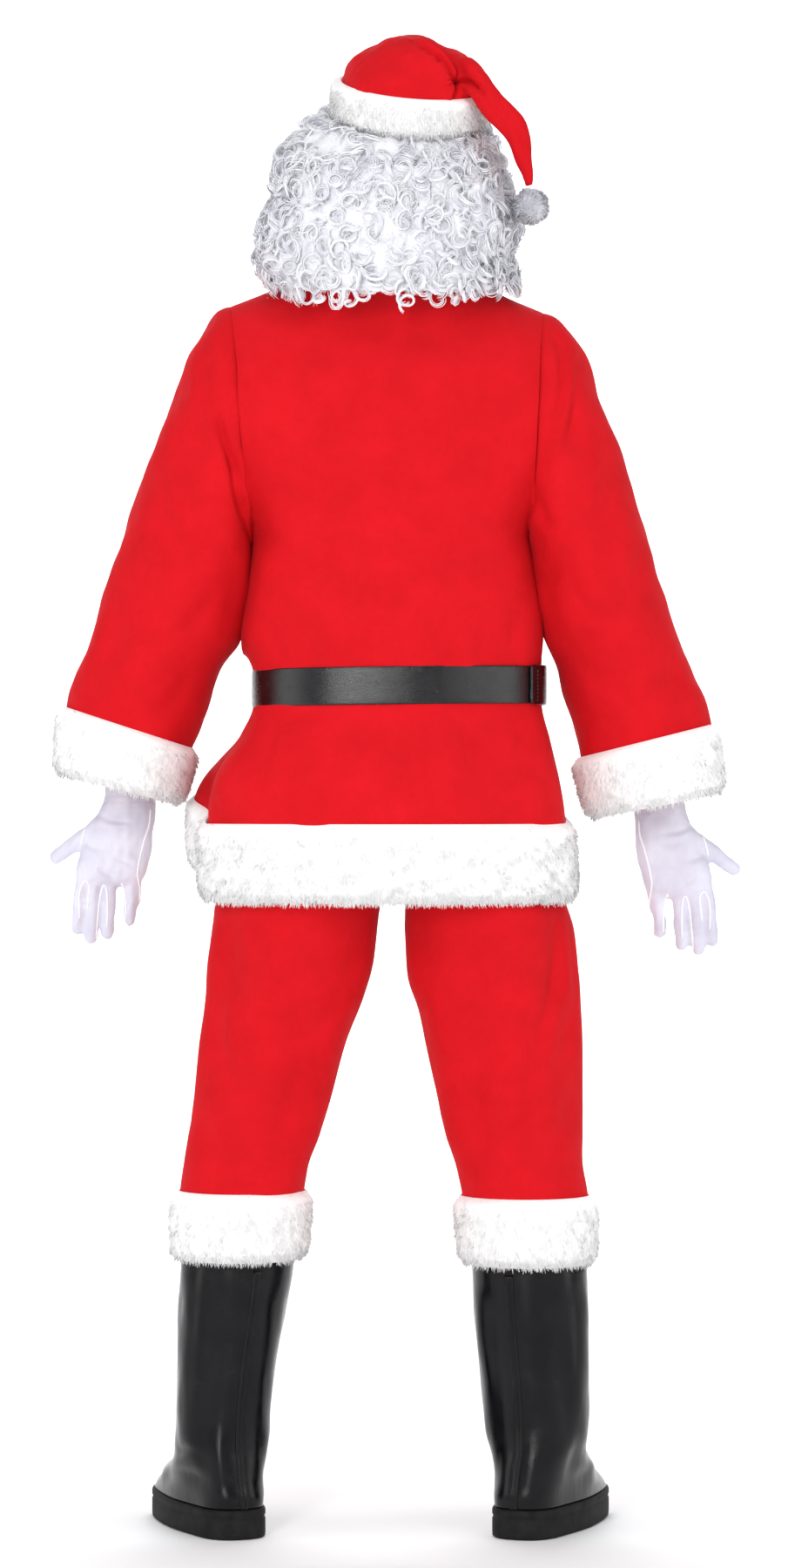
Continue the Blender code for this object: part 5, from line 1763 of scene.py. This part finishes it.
def soft_finishes():
    """Plush, fur, hair and the other cloths."""
    f = Finish("plush", 0.85, Sheen_Weight=0.12, Sheen_Roughness=0.45, Specular_IOR_Level=0.12)
    f.shader.inputs["Sheen Tint"].default_value = (1.0, 0.10, 0.12, 1)
    f.colours(f.noise(22, 4, 0.6), (0.555, 0.0045, 0.009), (0.645, 0.006, 0.012), 0.25, 0.7)
    f.raised(f.noise(45, 3), 1.2, 0.25)
    f.raised(f.noise(900, 2, 0.7), 0.5, 0.5)
    f = Finish("fur", 0.9, Sheen_Weight=0.3, Sheen_Roughness=0.5)
    f.colours(f.noise(40, 3), (0.93, 0.928, 0.92), (0.97, 0.97, 0.968))
    f.raised(f.noise(220, 3, 0.6), 1.2, 0.5)
    f = Finish("wool", 0.95)
    f.colours(f.noise(70, 3), (0.76, 0.76, 0.82), (0.90, 0.90, 0.94))
    f.raised(f.noise(300, 3, 0.6), 1.0, 0.5)
    f = Finish("hair", 0.45, Specular_IOR_Level=0.25)
    f.colours(f.noise(45, 3), (0.87, 0.873, 0.93), (0.95, 0.95, 0.98), 0.3, 0.65)
    f.raised(f.noise(500, 3, 0.6, stretch=(1, 1, 0.3)), 0.4, 0.4)
    f = Finish("hair_deep", 0.6)
    f.colours(f.noise(70, 4, 0.6, twist=3.0), (0.86, 0.86, 0.92), (0.94, 0.94, 0.97), 0.3, 0.7)
    f.raised(f.noise(80, 4, 0.6, twist=4.0), 2.4, 0.6)
    f.raised(f.noise(420, 3, 0.6, twist=2.0), 0.8, 0.5)
    f = Finish("net", 0.7)
    f.colours(f.noise(60, 2), (0.55, 0.50, 0.44), (0.72, 0.68, 0.62))
    f.raised(f.cells(330, "DISTANCE_TO_EDGE"), 0.6, 0.8)
    f = Finish("satin", 0.45, Sheen_Weight=0.25, Sheen_Roughness=0.3)
    f.colours(f.noise(26, 3), (0.60, 0.59, 0.70), (0.74, 0.73, 0.83))
    f.raised(f.noise(1300, 2, stretch=(1, 1, 0.4)), 0.12, 0.4)
    f.raised(f.noise(110, 3), 0.6, 0.3)
    # The seam cords are painted near white, much lighter than the satin: a painted highlight for
    # the light that raised seams catch.
    f = Finish("welt_painted_highlight", 0.4)
    f.colours(f.noise(90, 2), (0.90, 0.90, 0.93), (0.97, 0.97, 0.98))
    f.raised(f.noise(1500, 2), 0.1, 0.5)
    f = Finish("elastic", 0.85, Sheen_Weight=0.2)
    f.colours(f.noise(80, 3), (0.42, 0.006, 0.010), (0.60, 0.010, 0.016))
    f.raised(f.noise(900, 2, stretch=(1, 1, 4)), 0.25, 0.6)
    f = Finish("thread", 0.6)
    f.colours(f.noise(300, 2), (0.02, 0.02, 0.02), (0.07, 0.07, 0.07))
    f.raised(f.noise(2200, 2, stretch=(1, 1, 0.3)), 0.1, 0.6)


def hard_finishes():
    """Leatherette, vinyl, rubber, metal and the floor."""
    f = Finish("leatherette", 0.24, Specular_IOR_Level=0.5)
    f.colours(f.noise(50, 4), (0.003, 0.003, 0.004), (0.008, 0.008, 0.009))
    f.raised(f.cells(850), 0.22, 0.8)
    f.raised(f.noise(1400, 2), 0.12, 0.5)
    f.rough(f.noise(120, 2), 0.18, 0.28)
    f = Finish("vinyl", 0.2, Specular_IOR_Level=0.22)
    f.colours(f.noise(30, 3), (0.002, 0.002, 0.003), (0.006, 0.006, 0.007))
    f.raised(f.noise(60, 3, 0.5, stretch=(1, 1, 0.25)), 1.2, 0.35)
    f.raised(f.cells(900), 0.12, 0.6)
    f.rough(f.noise(60, 3), 0.15, 0.26)
    f = Finish("sole", 0.75, Specular_IOR_Level=0.2)
    f.colours(f.noise(60, 3), (0.005, 0.005, 0.005), (0.013, 0.013, 0.014))
    f.raised(f.noise(700, 3, 0.7), 0.35, 0.6)
    f = Finish("metal", 0.3, Metallic=1.0)
    f.colours(f.noise(40, 3), (0.66, 0.52, 0.26), (0.83, 0.70, 0.42))
    f.raised(f.noise(260, 3, stretch=(1, 1, 9)), 0.05, 0.5)
    f.rough(f.noise(90, 3), 0.2, 0.42)
    f = Finish("floor", 0.9)
    f.colours(f.noise(3, 2), (0.86, 0.86, 0.865), (0.90, 0.90, 0.905))


# Studio


LIGHTS = (
    # name, place and target in metres, width, height, watts
    ("key", (1.25, 4.5, 0.1), (0, 0, -0.6), 0.8, 3.0, 108),
    ("fill", (-3.0, 3.6, 0.2), (0, 0, -0.8), 1.6, 2.6, 34),
    ("top", (0.0, 1.4, 3.2), (0, 0, -0.5), 2.2, 2.2, 36),
    ("side", (-3.1, 1.1, -0.3), (0, 0, -0.6), 1.2, 2.6, 22),
    ("side", (3.1, 1.1, -0.3), (0, 0, -0.6), 1.2, 2.6, 22),
    ("paper", (0.0, -2.6, 3.6), (0, -6.5, 0.6), 3.2, 3.2, 520),
)


def light(name, place, target, width, height, watts):
    lamp = bpy.data.lights.new(name, "AREA")
    lamp.shape, lamp.size, lamp.size_y, lamp.energy = "RECTANGLE", width, height, watts
    thing = bpy.data.objects.new(name, lamp)
    thing.location = place
    thing.rotation_euler = (Vector(target) - Vector(place)).to_track_quat("-Z", "Y").to_euler()
    bpy.context.scene.collection.objects.link(thing)


def studio():
    world = bpy.data.worlds.new("studio")
    world.use_nodes = True
    background = world.node_tree.nodes["Background"]
    background.inputs["Color"].default_value = (0.93, 0.94, 0.96, 1)
    background.inputs["Strength"].default_value = 0.42
    bpy.context.scene.world = world
    for row in LIGHTS:
        light(*row)
    backdrop()
    bpy.context.scene.view_settings.view_transform = "Standard"


def backdrop():
    """A sheet of pale paper that curves up from the floor, away from the camera."""
    run = np.linspace(0, 1, 24)
    turn = np.radians(90 * run)
    curve = np.stack([-4200 - 2500 * np.sin(turn), 2500 * (1 - np.cos(turn))], -1)
    line = np.concatenate([[(9000, 0)], curve, [(-6700, 14000)]])
    half = 16000
    points = np.array([(x, y, height - 0.5) for y, height in line for x in (-half, half)])
    faces = grid_faces(len(line), 2, False)
    paper = bare_mesh("backdrop", points, faces, "floor")
    paper.data.shade_smooth()


def camera():
    """Level with the waist, square to the wearer's back, six metres away."""
    lens = bpy.data.cameras.new("camera")
    lens.sensor_fit = "VERTICAL"
    lens.sensor_height = 36.0
    lens.lens = lens.sensor_height * CAMERA_DISTANCE / (FRAME_SIZE[1] * PIXEL)
    lens.clip_end = 100.0
    thing = bpy.data.objects.new("camera", lens)
    x = (MIDDLE_COLUMN - FRAME_SIZE[0] / 2) * PIXEL * MM
    height = (FLOOR_ROW - FRAME_SIZE[1] / 2) * PIXEL
    thing.location = (x, CAMERA_DISTANCE * MM, (height - ORIGIN_HEIGHT) * MM)
    thing.rotation_euler = (math.pi / 2, 0, math.pi)
    bpy.context.scene.collection.objects.link(thing)
    bpy.context.scene.camera = thing


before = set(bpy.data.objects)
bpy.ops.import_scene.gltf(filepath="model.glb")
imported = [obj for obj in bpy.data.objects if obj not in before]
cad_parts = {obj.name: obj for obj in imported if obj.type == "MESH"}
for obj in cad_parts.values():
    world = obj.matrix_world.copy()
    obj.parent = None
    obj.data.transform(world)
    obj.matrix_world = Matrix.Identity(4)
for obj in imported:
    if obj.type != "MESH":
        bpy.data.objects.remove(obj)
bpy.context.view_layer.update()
soft_finishes()
hard_finishes()
camera()
studio()
jacket_body()
hem_fur()
waistband()
belt()
for wearer_side in ("left", "right"):
    sleeve(wearer_side)
    sleeve_fur(wearer_side)
    leg_panels(wearer_side)
    trouser_fur(wearer_side)
    boot(wearer_side)
    glove(wearer_side)
hat()
wig_cap()
wig()
